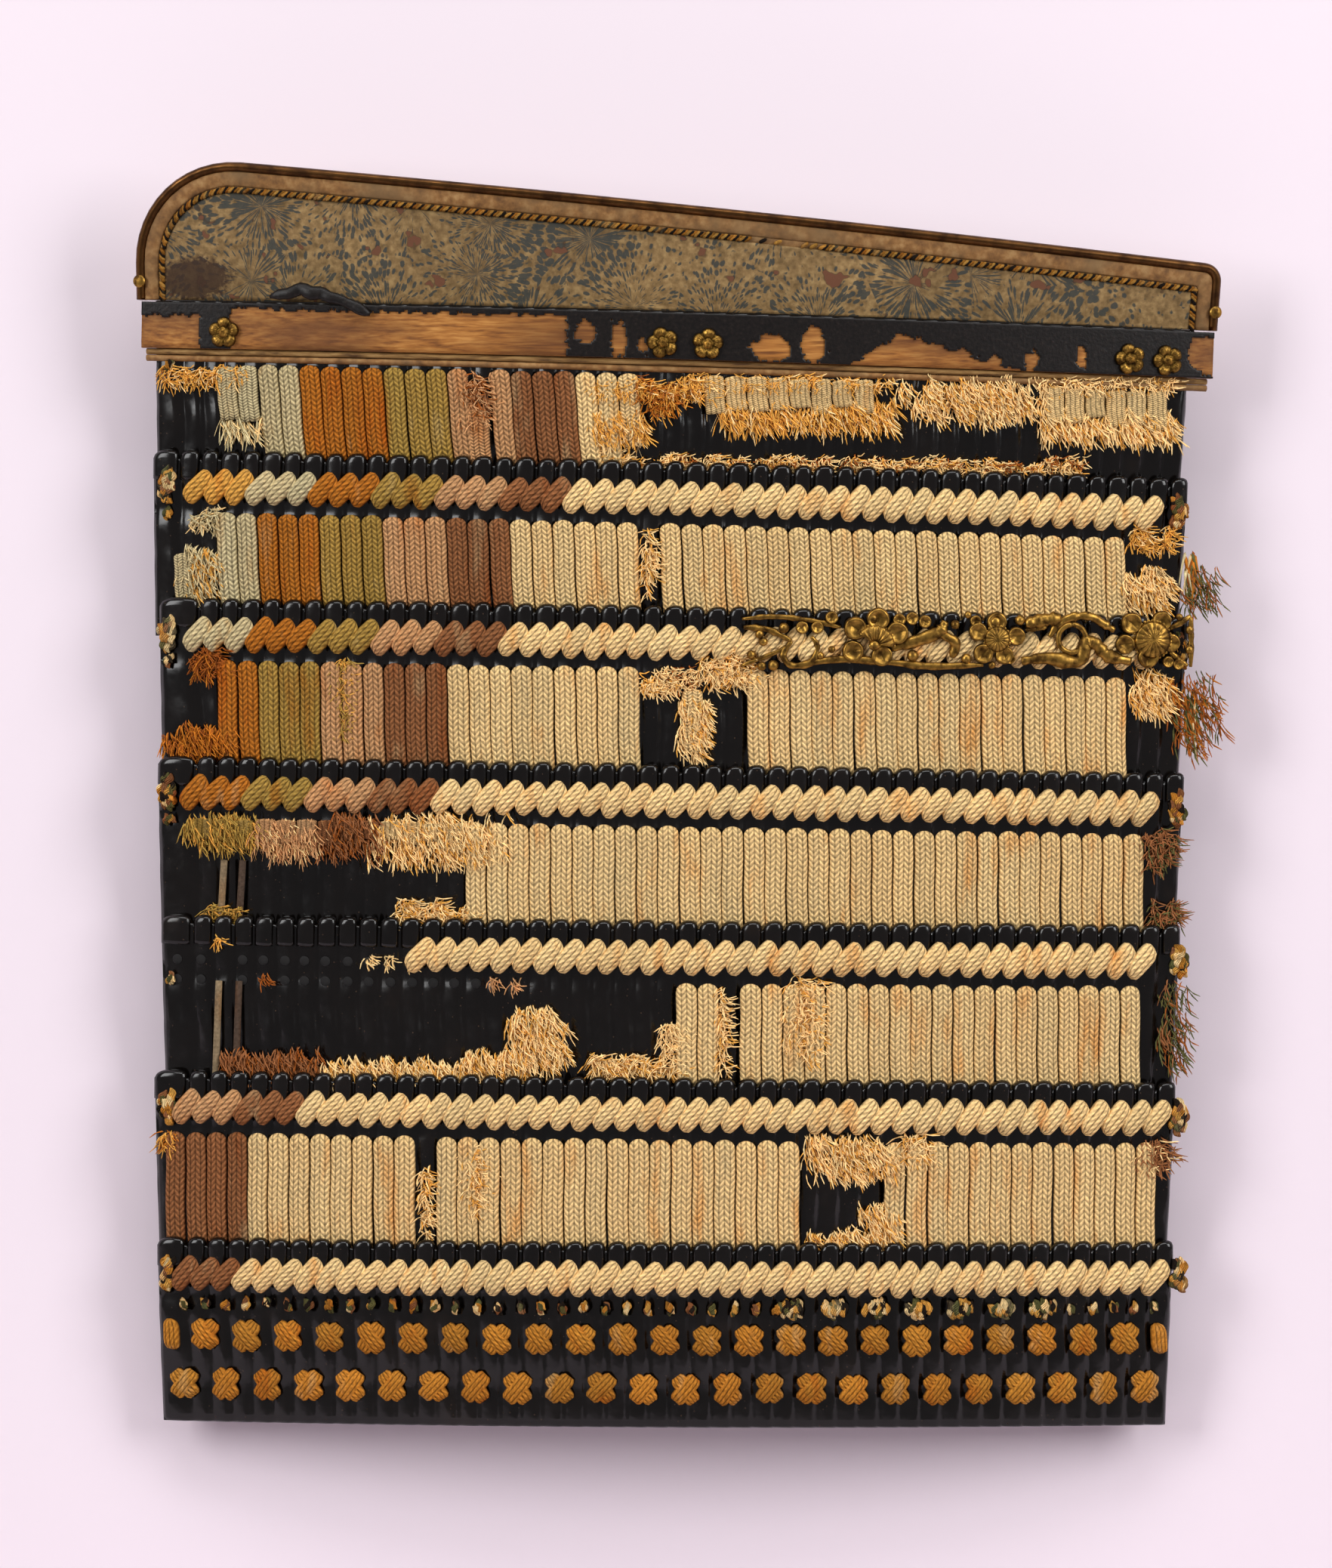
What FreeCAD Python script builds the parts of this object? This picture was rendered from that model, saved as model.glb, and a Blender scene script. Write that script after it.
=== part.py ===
import FreeCAD, Part
import math
import os

# Large shoulder guard of a samurai armour, hanging upright with its front towards -Y.
# Seven boards of lacquered scales hang from a leather-faced top plate by close silk lacing.
# The origin is the eye of the middle ring staple on the back of the top plate.

os.makedirs("parts", exist_ok=True)
doc = FreeCAD.newDocument("shoulder_guard")
sheet = doc.addObject("Spreadsheet::Sheet", "sizes")

# Driving dimensions, in millimetres and degrees
SIZES = {
    # boards of scales, shared by all seven
    "bend_radius": 700,
    "facet_angle": 4.2,
    "lame_tilt": 6.2,
    "lame_height": 59.3,
    "lame_thickness": 2.6,
    "lame_gap": 2.1,
    "side_taper": 2.0,
    "scale_pitch": 6.8,
    "scale_step": 0.9,
    "head_rise": 2.2,
    "notch_top": 6.4,
    "notch_depth": 2.4,
    "notch_height": 5.5,
    # half widths of each board at its head line, and its slope down to the right
    "lame_1_left": 164.8,
    "lame_1_right": 167.5,
    "lame_1_slope": 1.65,
    "lame_2_left": 165.6,
    "lame_2_right": 166.8,
    "lame_2_slope": 1.6,
    "lame_3_left": 163.7,
    "lame_3_right": 166.6,
    "lame_3_slope": 1.1,
    "lame_4_left": 164.2,
    "lame_4_right": 165.4,
    "lame_4_slope": 1.0,
    "lame_5_left": 163.2,
    "lame_5_right": 164.2,
    "lame_5_slope": 0.6,
    "lame_6_left": 165.4,
    "lame_6_right": 162.7,
    "lame_6_slope": 0.7,
    "lame_7_left": 164.6,
    "lame_7_right": 162.0,
    "lame_7_slope": 0.25,
    # drop of each head line below the one above
    "drop_2": 47.5,
    "drop_3": 45.8,
    "drop_4": 50.2,
    "drop_5": 49.7,
    "drop_6": 49.9,
    "drop_7": 52.3,
    # rope lacing along the heads
    "rope_drop": 6.9,
    "rope_height": 9.4,
    "rope_thickness": 2.0,
    "soft_clearance": 0.3,
    # close lacing between the boards
    "lacing_drop": 19.6,
    "lacing_thickness": 1.2,
    "lacing_crown": 0.5,
    "lacing_tail": 8.5,
    # remains of the edge lacing
    "edge_knot_width": 2.4,
    "edge_cord_width": 3.2,
    "edge_cord_thickness": 1.1,
    "edge_cord_height": 19.0,
    "edge_cord_drop": 24.0,
    # cross knots and ridge stitches on the bottom board, from its foot up
    "knot_width": 9.8,
    "knot_height": 11.5,
    "knot_cord": 2.7,
    "knot_thickness": 1.2,
    "knot_row_1_rise": 28.1,
    "knot_row_2_rise": 12.5,
    "end_stitch_width": 3.4,
    "ridge_stitch_rise": 38.2,
    "ridge_stitch_height": 2.4,
    "ridge_stitch_thickness": 0.8,
    # top plate
    "plate_thickness": 2.0,
    "plate_lean": 8,
    "plate_foot": 13.0,
    "plate_bend": 1.0,
    "plate_left": 171.3,
    "plate_right": 176.4,
    "plate_left_height": 46.3,
    "plate_right_height": 21.2,
    "plate_left_corner": 32,
    "plate_right_corner": 6,
    "plate_foot_inset": 9.0,
    "rim_width": 3.4,
    "rim_thickness": 5.6,
    "border_width": 4.4,
    "braid_width": 2.2,
    "braid_thickness": 1.5,
    "leather_thickness": 0.9,
    "leather_bottom": 0.3,
    "lining_thickness": 0.7,
    "rim_rivet_radius": 2.1,
    "rim_rivet_head": 1.0,
    "rim_rivet_rise": 6.0,
    # facing board and its mouldings
    "board_left": 167.8,
    "board_right": 173.7,
    "board_top": 0.6,
    "board_height": 14.6,
    "board_thickness": 2.2,
    "skin_thickness": 0.5,
    "moulding_width": 2.0,
    "moulding_thickness": 1.35,
    "flap_left": 127.0,
    "flap_right": 93.8,
    "flap_rise": 6.4,
    "flap_height": 11.0,
    "seat_gap": 0.05,
    # flower rivets
    "flower_radius": 5.1,
    "flower_waist": 3.9,
    "flower_head": 1.4,
    "flower_shank": 2.4,
    "flower_drop": 10.1,
    # ring staples and rings
    "staple_rise": 16.0,
    "staple_reach": 5.2,
    "staple_eye": 2.3,
    "staple_wire": 1.6,
    "staple_tang": 2.2,
    "seat_radius": 6.0,
    "seat_thickness": 0.8,
    "ring_radius": 8.7,
    "ring_wire": 1.3,
    "side_staple_place": 120,
    "mizunomi_place": 148,
    "mizunomi_drop": 46.0,
    # openwork ornament
    "ornament_left": 21.6,
    "ornament_right": 163.8,
    "ornament_thickness": 1.1,
    "ornament_height": 17.6,
    "ornament_top": 1.0,
    "branch_width": 3.2,
    "ornament_flower": 8.6,
    "pin_radius": 1.6,
    "pin_head": 0.9,
    "pin_shank": 1.6,
    # leather thongs at the left
    "thong_width": 2.2,
    "thong_thickness": 0.9,
    "thong_lean": 1.2,
    "thong_4_left": 142.0,
    "thong_4_right": 136.0,
    "thong_4_top": 33.0,
    "thong_5_left": 144.0,
    "thong_5_right": 137.5,
    "thong_5_top": 20.9,
    # overrun of every cut
    "overrun": 5,
}
for row, (name, value) in enumerate(SIZES.items(), start=1):
    sheet.set(f"A{row}", name)
    sheet.set(f"B{row}", str(value))
    sheet.setAlias(f"B{row}", name)
doc.recompute()


def size(name):
    return float(sheet.get(name))


LAMES = range(1, 8)
BEND = size("bend_radius")
THICK = size("lame_thickness")
STEP = size("scale_step")
PITCH = size("scale_pitch")
GAP = size("seat_gap")
SOFT = size("soft_clearance")
OVER = size("overrun")
TILT = math.radians(size("lame_tilt"))

# Place of the crest of a head, as a share of its scale's width
crest_share = 0.68
# Least width of the end scale in pitches, and the reach of a rope lobe's slant
END_SCALE_SHARE = 1.05
rope_lean_share = 0.85


# Frames: each board is drawn about its own upright bend axis, at the height of its head line.
# Going down, a board leans back, so that every plan moves back with its depth.
def vector(x, y, z):
    return FreeCAD.Vector(x, y, z)


def turned(axis, degrees):
    return FreeCAD.Rotation(axis, degrees)


X_AXIS = vector(1, 0, 0)
Y_AXIS = vector(0, 1, 0)
Z_AXIS = vector(0, 0, 1)
SLANT = math.tan(TILT)
NO_TURN = FreeCAD.Rotation()


def shifted(x, y, z):
    return FreeCAD.Placement(vector(x, y, z), NO_TURN)


def lame_frame(k, side, front, height):
    slope = turned(Y_AXIS, size(f"lame_{k}_slope"))
    return FreeCAD.Placement(vector(side, front, height), slope).multiply(shifted(0, BEND, 0))


# Frame of a row of pieces at this height on a board
def row_frame(k, height):
    return LAME_FRAMES[k].multiply(shifted(0, -height * SLANT, height))


# Frame of an eye behind a board: its X runs along the board there
def staple_frame(frame, radius, angle, height, lean):
    at_height = frame.multiply(shifted(0, -height * SLANT, height))
    around = FreeCAD.Placement(vector(0, 0, 0), turned(Z_AXIS, math.degrees(angle)))
    out = FreeCAD.Placement(vector(0, -radius, 0), turned(X_AXIS, lean))
    return at_height.multiply(around).multiply(out)


# Distance of the plate's front face from the bend axis
def plate_radius(height):
    lean = math.tan(math.radians(size("plate_lean")))
    return BEND - THICK - 2 * GAP + max(0, height - size("plate_bend")) * lean


PLATE = size("plate_thickness")
LINING = size("lining_thickness")
STAPLE_RISE = size("staple_rise")
PLATE_TILT = size("plate_lean") + size("lame_tilt")
EYE_RADIUS = plate_radius(STAPLE_RISE) - PLATE - LINING - size("staple_reach")
eye = staple_frame(lame_frame(1, 0, 0, 0), EYE_RADIUS, 0, STAPLE_RISE, PLATE_TILT).Base
side, front, height = -eye
LAME_FRAMES = {1: lame_frame(1, side, front, height)}
for k in LAMES[1:]:
    front += size(f"drop_{k}") * SLANT - THICK - size("lame_gap")
    height -= size(f"drop_{k}")
    LAME_FRAMES[k] = lame_frame(k, side, front, height)


# Drawing helpers
def on_bend(radius, angle, z=0):
    return vector(radius * math.sin(angle), -radius * math.cos(angle), z)


def angle_at(x):
    return math.asin(x / BEND)


# Every bent piece but the scales follows the facets of one upright regular prism
FACET = math.radians(size("facet_angle"))


def facet_angles(left, right):
    first = math.floor(left / FACET) + 1
    last = math.ceil(right / FACET) - 1
    return [left] + [n * FACET for n in range(first, last + 1)] + [right]


# A point of the prism whose faces lie at this distance from the bend axis
def on_facet(apothem, angle, z=0):
    middle = (math.floor(angle / FACET) + 0.5) * FACET
    return on_bend(apothem / math.cos(angle - middle), angle, z)


def bent_plan(back, front, left, right):
    angles = facet_angles(left, right)
    return closed([on_facet(front, a) for a in angles] + [on_facet(back, a) for a in reversed(angles)])


def closed(points):
    return [Part.LineSegment(a, b) for a, b in zip(points, points[1:] + points[:1])]


def polygon(radius, sides, x=0, y=0, start=0):
    steps = [start + 2 * math.pi * n / sides for n in range(sides)]
    return closed([vector(x + radius * math.cos(a), y + radius * math.sin(a), 0) for a in steps])


def box_wire(x_low, x_high, y_low, y_high):
    corners = [(x_low, y_low), (x_high, y_low), (x_high, y_high), (x_low, y_high)]
    return closed([vector(x, y, 0) for x, y in corners])


# Closed outline through corners (x, y, radius), with an arc where the radius isn't zero
def rounded(corners):
    ends = []
    count = len(corners)
    for n, (x, y, radius) in enumerate(corners):
        here = vector(x, y, 0)
        if radius == 0:
            ends.append((here, here, here))
            continue
        before = vector(*corners[n - 1][:2], 0).sub(here).normalize()
        after = vector(*corners[(n + 1) % count][:2], 0).sub(here).normalize()
        half = before.getAngle(after) / 2
        reach = radius / math.tan(half)
        middle = before.add(after).normalize() * (radius / math.sin(half))
        inner = here + middle * (1 - radius / middle.Length)
        ends.append((here + before * reach, inner, here + after * reach))
    edges = []
    for n, (start, inner, end) in enumerate(ends):
        if start != end:
            edges.append(Part.Arc(start, inner, end))
        edges.append(Part.LineSegment(end, ends[(n + 1) % count][0]))
    return edges


def new_body(label, frame):
    body = doc.addObject("PartDesign::Body", label)
    body.Label = label
    body.AllowCompound = True
    body.Placement = frame
    return body


def origin_item(body, role):
    return [item for item in body.Origin.OriginFeatures if item.Role == role][0]


def new_sketch(body, role, wires, offset=None):
    sketch = body.newObject("Sketcher::SketchObject", "outline")
    sketch.AttachmentSupport = [(origin_item(body, role), "")]
    sketch.MapMode = "FlatFace"
    if offset:
        sketch.AttachmentOffset = offset
    for wire in wires:
        sketch.addGeometry(wire, False)
    return sketch


# Offset of an upright sketch plane to the tangent plane at this angle, radius and height
def around_bend(radius, angle, height=0, lean=0):
    turn = turned(Y_AXIS, math.degrees(angle))
    place = turn.multVec(vector(0, 0, radius)) + vector(0, height, height * SLANT)
    return FreeCAD.Placement(place, turn.multiply(turned(X_AXIS, lean)))


# A plan drawn at this height and carried down with the lean of the boards
def add_board(body, plan, top, tall):
    pad = body.newObject("PartDesign::Pad", "board")
    pad.Profile = new_sketch(body, "XY_Plane", [plan], shifted(0, -top * SLANT, top))
    pad.UseCustomVector = True
    pad.Direction = vector(0, SLANT, -1)
    pad.AlongSketchNormal = True
    set_length(pad, tall)
    return pad


# A length is either a cell of the sheet or a value worked out from several
def set_length(feature, length):
    if isinstance(length, str):
        feature.setExpression("Length", length)
    else:
        feature.Length = length


def add_pad(body, sketch, length, midplane=False, reverse=False):
    pad = body.newObject("PartDesign::Pad", "pad")
    pad.Profile = sketch
    set_length(pad, length)
    pad.Midplane = midplane
    pad.Reversed = reverse
    return pad


# A section (distance from the axis, height) carried along the facets, past both ends of any board
def add_bend(body, points):
    points = [(radius + height * SLANT, height) for radius, height in points]
    count = math.ceil(angle_at(size("plate_right")) / FACET) + 1
    reach = points[0][0]
    path = [on_bend(reach / math.cos(FACET / 2), n * FACET) for n in range(-count, count + 1)]
    spine = body.newObject("Sketcher::SketchObject", "spine")
    spine.AttachmentSupport = [(origin_item(body, "XY_Plane"), "")]
    spine.MapMode = "FlatFace"
    for start, end in zip(path, path[1:]):
        spine.addGeometry(Part.LineSegment(start, end), False)
    turn = turned(Y_AXIS, math.degrees((0.5 - count) * FACET))
    start = FreeCAD.Placement(turn.multVec(vector(0, 0, -reach * math.tan(FACET / 2))), turn)
    section = new_sketch(body, "YZ_Plane", [closed([vector(-x, z, 0) for x, z in points])], start)
    doc.recompute()
    pipe = body.newObject("PartDesign::AdditivePipe", "bent")
    pipe.Profile = section
    pipe.Spine = (spine, [f"Edge{n + 1}" for n in range(2 * count)])
    pipe.Transition = "Right corner"
    return pipe


def cut_through(body, wires, length=None, offset=None):
    pocket = body.newObject("PartDesign::Pocket", "cut")
    pocket.Profile = new_sketch(body, "XZ_Plane", wires, offset)
    pocket.Midplane = True
    if length:
        set_length(pocket, length)
    else:
        pocket.Type = "ThroughAll"
    return pocket


# Cut away all that lies outside this front outline
def keep_only(body, wire):
    wide = size("plate_right") + size("plate_left")
    tall = size("lame_height") * 2
    return cut_through(body, [box_wire(-wide, wide, -tall, tall), wire])


def add_pattern(body, features, angle, count):
    pattern = body.newObject("PartDesign::PolarPattern", "pattern")
    pattern.Originals = features
    pattern.Axis = (origin_item(body, "Z_Axis"), [""])
    pattern.Angle = math.degrees(angle) * (count - 1)
    pattern.Occurrences = count
    body.Tip = pattern
    return pattern


# Boards of scales: edges of the scales from left to right, with what is left over in the end scale
def scale_angles(k):
    left = -angle_at(size(f"lame_{k}_left"))
    right = angle_at(size(f"lame_{k}_right"))
    count = math.floor((right - left) * BEND / PITCH - END_SCALE_SHARE)
    return [left] + [right - n * PITCH / BEND for n in range(count, -1, -1)]


def across(angle, radius=BEND):
    return radius * math.sin(angle)


# Plan of a board: each scale stands proud at its right edge
def stepped_plan(k):
    angles = scale_angles(k)
    points = []
    for a, b in zip(angles, angles[1:]):
        points.append(on_bend(BEND, a) + vector(0, STEP, 0))
        points.append(on_bend(BEND, b))
    for angle in reversed(facet_angles(angles[0], angles[-1])):
        points.append(on_facet(BEND - THICK, angle))
    return closed(points)


# Front outline of a board: scale heads, slanted side edges and, on board 5, the broken edge
def board_front(k):
    angles = scale_angles(k)
    rise = size("head_rise")
    taper = size("side_taper")
    low = -size("lame_height")
    left = across(angles[0])
    right = across(angles[-1])
    points = []
    if k == 1:
        points += [vector(left, OVER, 0), vector(right, OVER, 0)]
    else:
        for a, b in zip(angles, angles[1:]):
            wide = across(b) - across(a)
            points.append(vector(across(a), -rise, 0))
            points.append(vector(across(a) + wide * crest_share, 0, 0))
        points.append(vector(right, -rise, 0))
    points.append(vector(right - taper, low - OVER, 0))
    points.append(vector(left + taper, low - OVER, 0))
    if k == 5:
        top = -size("notch_top")
        deep = size("notch_depth")
        tall = size("notch_height")
        points.append(vector(left, top - tall, 0))
        points.append(vector(left + deep, top - tall / 2, 0))
        points.append(vector(left, top, 0))
    return closed(points)


def make_lame(k):
    body = new_body(f"lame_{k}", LAME_FRAMES[k])
    add_board(body, stepped_plan(k), 0, "sizes.lame_height")
    keep_only(body, board_front(k))
    return body


# Places along a board are counted in scales from the left: where each rope begins
ROPES = {2: 0, 3: 0, 4: 0, 5: 12, 6: 0, 7: 0}
# Stretches of close lacing that are left, as (first, last, share of the full length)
lacing_shares = {
    1: [(3, 5, 0.6), (5, 23, 1), (26, 34, 0.35), (41, 48, 0.35)],
    2: [(1, 3, 0.6), (3, 23, 1), (23, 46, 1), (46, 48, 0.4)],
    3: [(0, 2, 0.3), (2, 22, 1), (27, 45, 1)],
    4: [(0, 13, 0.32), (14, 46, 1)],
    5: [(24, 26, 1), (26, 46, 1)],
    6: [(0, 12, 1), (12, 29, 1), (34, 46, 1)],
}


# A cord that lies on a board, ridged along its middle; its middle is at height 0 of its row
def add_slanted_cord(body, seat, angle, wide, thick, tall, lean):
    turn = turned(Z_AXIS, math.degrees(angle))
    low_seat = -seat + tall * SLANT / 2
    section = [vector(side * wide / 2 - lean / 2, low_seat, 0) for side in (-1, 1)]
    section.append(vector(-lean / 2, low_seat - thick, 0))
    spot = FreeCAD.Placement(vector(0, 0, -tall / 2), turn)
    pad = body.newObject("PartDesign::Pad", "cord")
    pad.Profile = new_sketch(body, "XY_Plane", [closed(section)], spot)
    pad.UseCustomVector = True
    pad.Direction = turn.multVec(vector(lean, -tall * SLANT, tall))
    pad.AlongSketchNormal = True
    pad.Length = tall
    return pad


# Rope lacing: slanted lobes, one to a scale
def make_rope(k):
    tall = size("rope_height")
    body = new_body(f"rope_{k}", row_frame(k, -size("rope_drop") - tall / 2))
    angles = scale_angles(k)
    first = ROPES[k]
    form = (PITCH - SOFT, size("rope_thickness"), tall, PITCH * rope_lean_share)
    lobe = add_slanted_cord(body, BEND + GAP, angles[first + 1], *form)
    add_pattern(body, [lobe], PITCH / BEND, len(angles) - 2 - first)
    return body


# Knots of the edge lacing beside the ends of a rope, parallel to its lobes
def make_edge_knots(k):
    tall = size("rope_height")
    wide = size("edge_knot_width")
    body = new_body(f"edge_rope_{k}", row_frame(k, -size("rope_drop") - tall / 2))
    angles = scale_angles(k)
    away = (PITCH + wide + SOFT) / 2 / BEND
    ends = [angles[-2] + away] if ROPES[k] else [angles[1] - away, angles[-2] + away]
    for angle in ends:
        add_slanted_cord(body, BEND + GAP, angle, wide, size("rope_thickness"), tall, PITCH * rope_lean_share)
    return body


# Boards that still have a hanging length of edge lacing at the right edge
EDGE_CORDS = (2, 3)


def make_edge_lacing(k):
    tall = size("edge_cord_height")
    body = new_body(f"edge_lacing_{k}", row_frame(k, -size("edge_cord_drop") - tall / 2))
    angle = scale_angles(k)[-1]
    add_slanted_cord(body, BEND + GAP, angle, size("edge_cord_width"), size("edge_cord_thickness"), tall, 0)
    return body


# Plan of close lacing: each cord is a low ridge
def ridged_plan(angles, seat, thick, crown):
    points = []
    for a, b in zip(angles, angles[1:]):
        points.append(on_bend(seat + thick - crown, a))
        points.append(on_bend(seat + thick, (a + b) / 2))
    points.append(on_bend(seat + thick - crown, angles[-1]))
    points += [on_facet(seat, angle) for angle in reversed(facet_angles(angles[0], angles[-1]))]
    return closed(points)


def make_lacing(k):
    body = new_body(f"lacing_{k}", LAME_FRAMES[k])
    angles = scale_angles(k)
    top = size("lacing_drop")
    long = size(f"drop_{k + 1}") + size("lacing_tail") - top
    for first, last, share in lacing_shares[k]:
        last = min(last, len(angles) - 1)
        inset = SOFT / BEND / 2
        cords = [angles[first] + inset] + angles[first + 1:last] + [angles[last] - inset]
        plan = ridged_plan(cords, BEND + SOFT, size("lacing_thickness"), size("lacing_crown"))
        add_board(body, plan, -top, long * share)
    return body


# Thin leather thongs that tie two boards near the left edge, as (place, place) and their top
THONGS = {4: ("thong_4_left", "thong_4_right", "thong_4_top"), 5: ("thong_5_left", "thong_5_right", "thong_5_top")}


def make_thongs(k):
    left, right, top = THONGS[k]
    tall = size(f"drop_{k + 1}") + size("lacing_tail") - size(top)
    body = new_body(f"thongs_{k}", row_frame(k, -size(top) - tall / 2))
    form = (size("thong_width"), size("thong_thickness"), tall, size("thong_lean"))
    for place in (left, right):
        add_slanted_cord(body, BEND + SOFT, angle_at(-size(place)), *form)
    return body


# A row of crosses, one to two scales; the leg on top rises or falls to the right
def make_knots(row, first, count, rise, rising):
    body = new_body(f"cross_knots_{row}", row_frame(7, size(rise) - size("lame_height")))
    start = scale_angles(7)[first]
    cord = size("knot_cord")
    thick = size("knot_thickness")
    reach = size("knot_width") - cord
    legs = []
    for layer in (0, 1):
        lean = reach if rising == (layer == 1) else -reach
        seat = BEND + GAP + layer * (thick + GAP)
        legs.append(add_slanted_cord(body, seat, start, cord, thick, size("knot_height"), lean))
    add_pattern(body, legs, 2 * PITCH / BEND, count)
    return body


# An upright stitch closes the upper row of crosses at each end
def make_end_stitches():
    body = new_body("end_stitches", row_frame(7, size("knot_row_1_rise") - size("lame_height")))
    form = (size("end_stitch_width"), size("knot_thickness"), size("knot_height"), 0)
    ends = scale_angles(7)
    for angle in (ends[0] + PITCH / BEND, ends[-1] - PITCH / BEND):
        add_slanted_cord(body, BEND + GAP, angle, *form)
    return body


# Part of a bent band between two places across the front, from its top down
def bent_strip(body, back, thick, left, right, top, tall):
    return add_board(body, bent_plan(back, back + thick, left, right), top, tall)


# The row of small stitches under the rope lies in one line
def make_ridge_stitches():
    body = new_body("ridge_stitches", LAME_FRAMES[7])
    angles = scale_angles(7)
    top = size("ridge_stitch_rise") - size("lame_height")
    form = (size("ridge_stitch_thickness"), angles[1], angles[-1], top)
    bent_strip(body, BEND + GAP, *form, "sizes.ridge_stitch_height")
    return body


# Top plate: its front outline, drawn in by an inset at the left, top and right edges
def plate_corners(inset, bottom):
    left = -size("plate_left") + inset
    right = size("plate_right") - inset
    slant = (size("plate_right_height") - size("plate_left_height")) / (size("plate_right") + size("plate_left"))
    drop = inset * math.hypot(1, slant)
    top_left = size("plate_left_height") - drop + slant * inset
    top_right = size("plate_right_height") - drop - slant * inset
    return [
        (left, bottom, 0),
        (right, bottom, 0),
        (right, top_right, max(size("plate_right_corner") - inset, 0)),
        (left, top_left, size("plate_left_corner") - inset),
    ]


# A layer of the plate between a back and a front offset, from its bottom up, trimmed to its outline
def plate_layer(label, front, back, outline, bottom):
    body = new_body(label, LAME_FRAMES[1])
    bend = size("plate_bend")
    top = size("plate_left_height") + OVER
    heights = [bottom, bend, top] if bottom < bend else [bottom, top]
    section = [(plate_radius(z) + front, z) for z in heights]
    section += [(plate_radius(z) + back, z) for z in reversed(heights)]
    add_bend(body, section)
    keep_only(body, outline)
    return body


# Outline of a band that runs up the left edge, along the top and down the right edge
def arch(outer, inner, bottom):
    outside = plate_corners(outer, bottom)
    inside = plate_corners(inner, bottom)
    return rounded(outside[1:] + [outside[0], inside[0]] + inside[:0:-1])


LEATHER = size("leather_thickness")
RIM_IN = size("rim_width")
BRAID_OUT = RIM_IN + size("border_width")
BRAID_IN = BRAID_OUT + size("braid_width")
PLATE_LOW = size("leather_bottom")
PLATE_FOOT = size("plate_foot")
RIM_OVER = (size("rim_thickness") - PLATE - LINING - LEATHER) / 2


# Outline of the iron plate with its narrower foot behind the first board
def plate_outline():
    corners = plate_corners(RIM_IN + GAP, PLATE_LOW)
    step = size("plate_foot_inset")
    foot_left = corners[0][0] + step
    foot_right = corners[1][0] - step
    foot = [(foot_left, -PLATE_FOOT, 0), (foot_right, -PLATE_FOOT, 0), (foot_right, PLATE_LOW, 0)]
    return rounded(foot + corners[1:] + [corners[0], (foot_left, PLATE_LOW, 0)])


def square(half, x=0, y=0):
    return box_wire(x - half, x + half, y - half, y + half)


SIDE_ANGLE = angle_at(size("side_staple_place"))
STAPLE_ANGLES = {"left": -SIDE_ANGLE, "centre": 0, "right": SIDE_ANGLE}
TANG = size("staple_tang") / 2


def tang_holes(body, angles, radius, height):
    for angle in angles:
        cut_through(body, [square(TANG + GAP)], 2 * OVER, around_bend(radius, angle, height))


def make_plate_layers():
    inside = RIM_IN + GAP
    plate = plate_layer("top_plate", 0, -PLATE, plate_outline(), -PLATE_FOOT)
    back = -PLATE - GAP
    whole = rounded(plate_corners(inside, PLATE_LOW))
    lining = plate_layer("plate_lining", back, back - LINING, whole, PLATE_LOW)
    centre = rounded(plate_corners(BRAID_IN + GAP, PLATE_LOW))
    main = plate_layer("main_leather", GAP + LEATHER, GAP, centre, PLATE_LOW)
    around = arch(inside, BRAID_OUT - GAP, PLATE_LOW)
    border = plate_layer("border_leather", GAP + LEATHER, GAP, around, PLATE_LOW)
    band = arch(BRAID_OUT, BRAID_IN, PLATE_LOW)
    braid = plate_layer("stitched_braid", GAP + size("braid_thickness"), GAP, band, PLATE_LOW)
    rim = plate_layer("rim", LEATHER + RIM_OVER, back - LINING - RIM_OVER, arch(0, RIM_IN, PLATE_LOW), PLATE_LOW)
    for body in (plate, lining):
        tang_holes(body, STAPLE_ANGLES.values(), plate_radius(STAPLE_RISE), STAPLE_RISE)
    return [plate, lining, main, border, braid, rim]


# Two small rivets hold the ends of the rim
def make_rim_rivets():
    body = new_body("rim_rivets", LAME_FRAMES[1])
    rise = size("rim_rivet_rise")
    for place in (-size("plate_left") + RIM_IN / 2, size("plate_right") - RIM_IN / 2):
        angle = angle_at(place)
        seat = (plate_radius(rise) + LEATHER + RIM_OVER) / math.cos(FACET / 2) + GAP
        disc = polygon(size("rim_rivet_radius"), 10)
        sketch = new_sketch(body, "XZ_Plane", [disc], around_bend(seat, angle, rise, PLATE_TILT))
        add_pad(body, sketch, "sizes.rim_rivet_head")
    return body


# Facing board, its skin and the two mouldings
BOARD_SEAT = BEND + GAP
BOARD_FRONT = BOARD_SEAT + size("board_thickness")
BOARD_TOP = -size("board_top")
BOARD_LOW = BOARD_TOP - size("board_height")
BOARD_LEFT = -size("board_left")
BOARD_WIDE = size("board_left") + size("board_right")

# Stretches of skin left on the board, as shares of its width from the left
skin_shares = [(0.012, 0.078), (0.395, 0.568), (0.605, 0.649), (0.84, 0.992)]
half_round_shares = [(0, 0), (0.7, 0.14), (1, 0.5), (0.7, 0.86), (0, 1)]


def make_board():
    body = new_body("facing_board", LAME_FRAMES[1])
    left = angle_at(BOARD_LEFT)
    right = angle_at(size("board_right"))
    bent_strip(body, BOARD_SEAT, size("board_thickness"), left, right, BOARD_TOP, "sizes.board_height")
    return body


def make_skin():
    body = new_body("board_skin", LAME_FRAMES[1])
    for start, end in skin_shares:
        left = angle_at(BOARD_LEFT + BOARD_WIDE * start)
        right = angle_at(BOARD_LEFT + BOARD_WIDE * end)
        seat = BOARD_FRONT + GAP
        bent_strip(body, seat, size("skin_thickness"), left, right, BOARD_TOP, "sizes.board_height")
    return body


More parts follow.
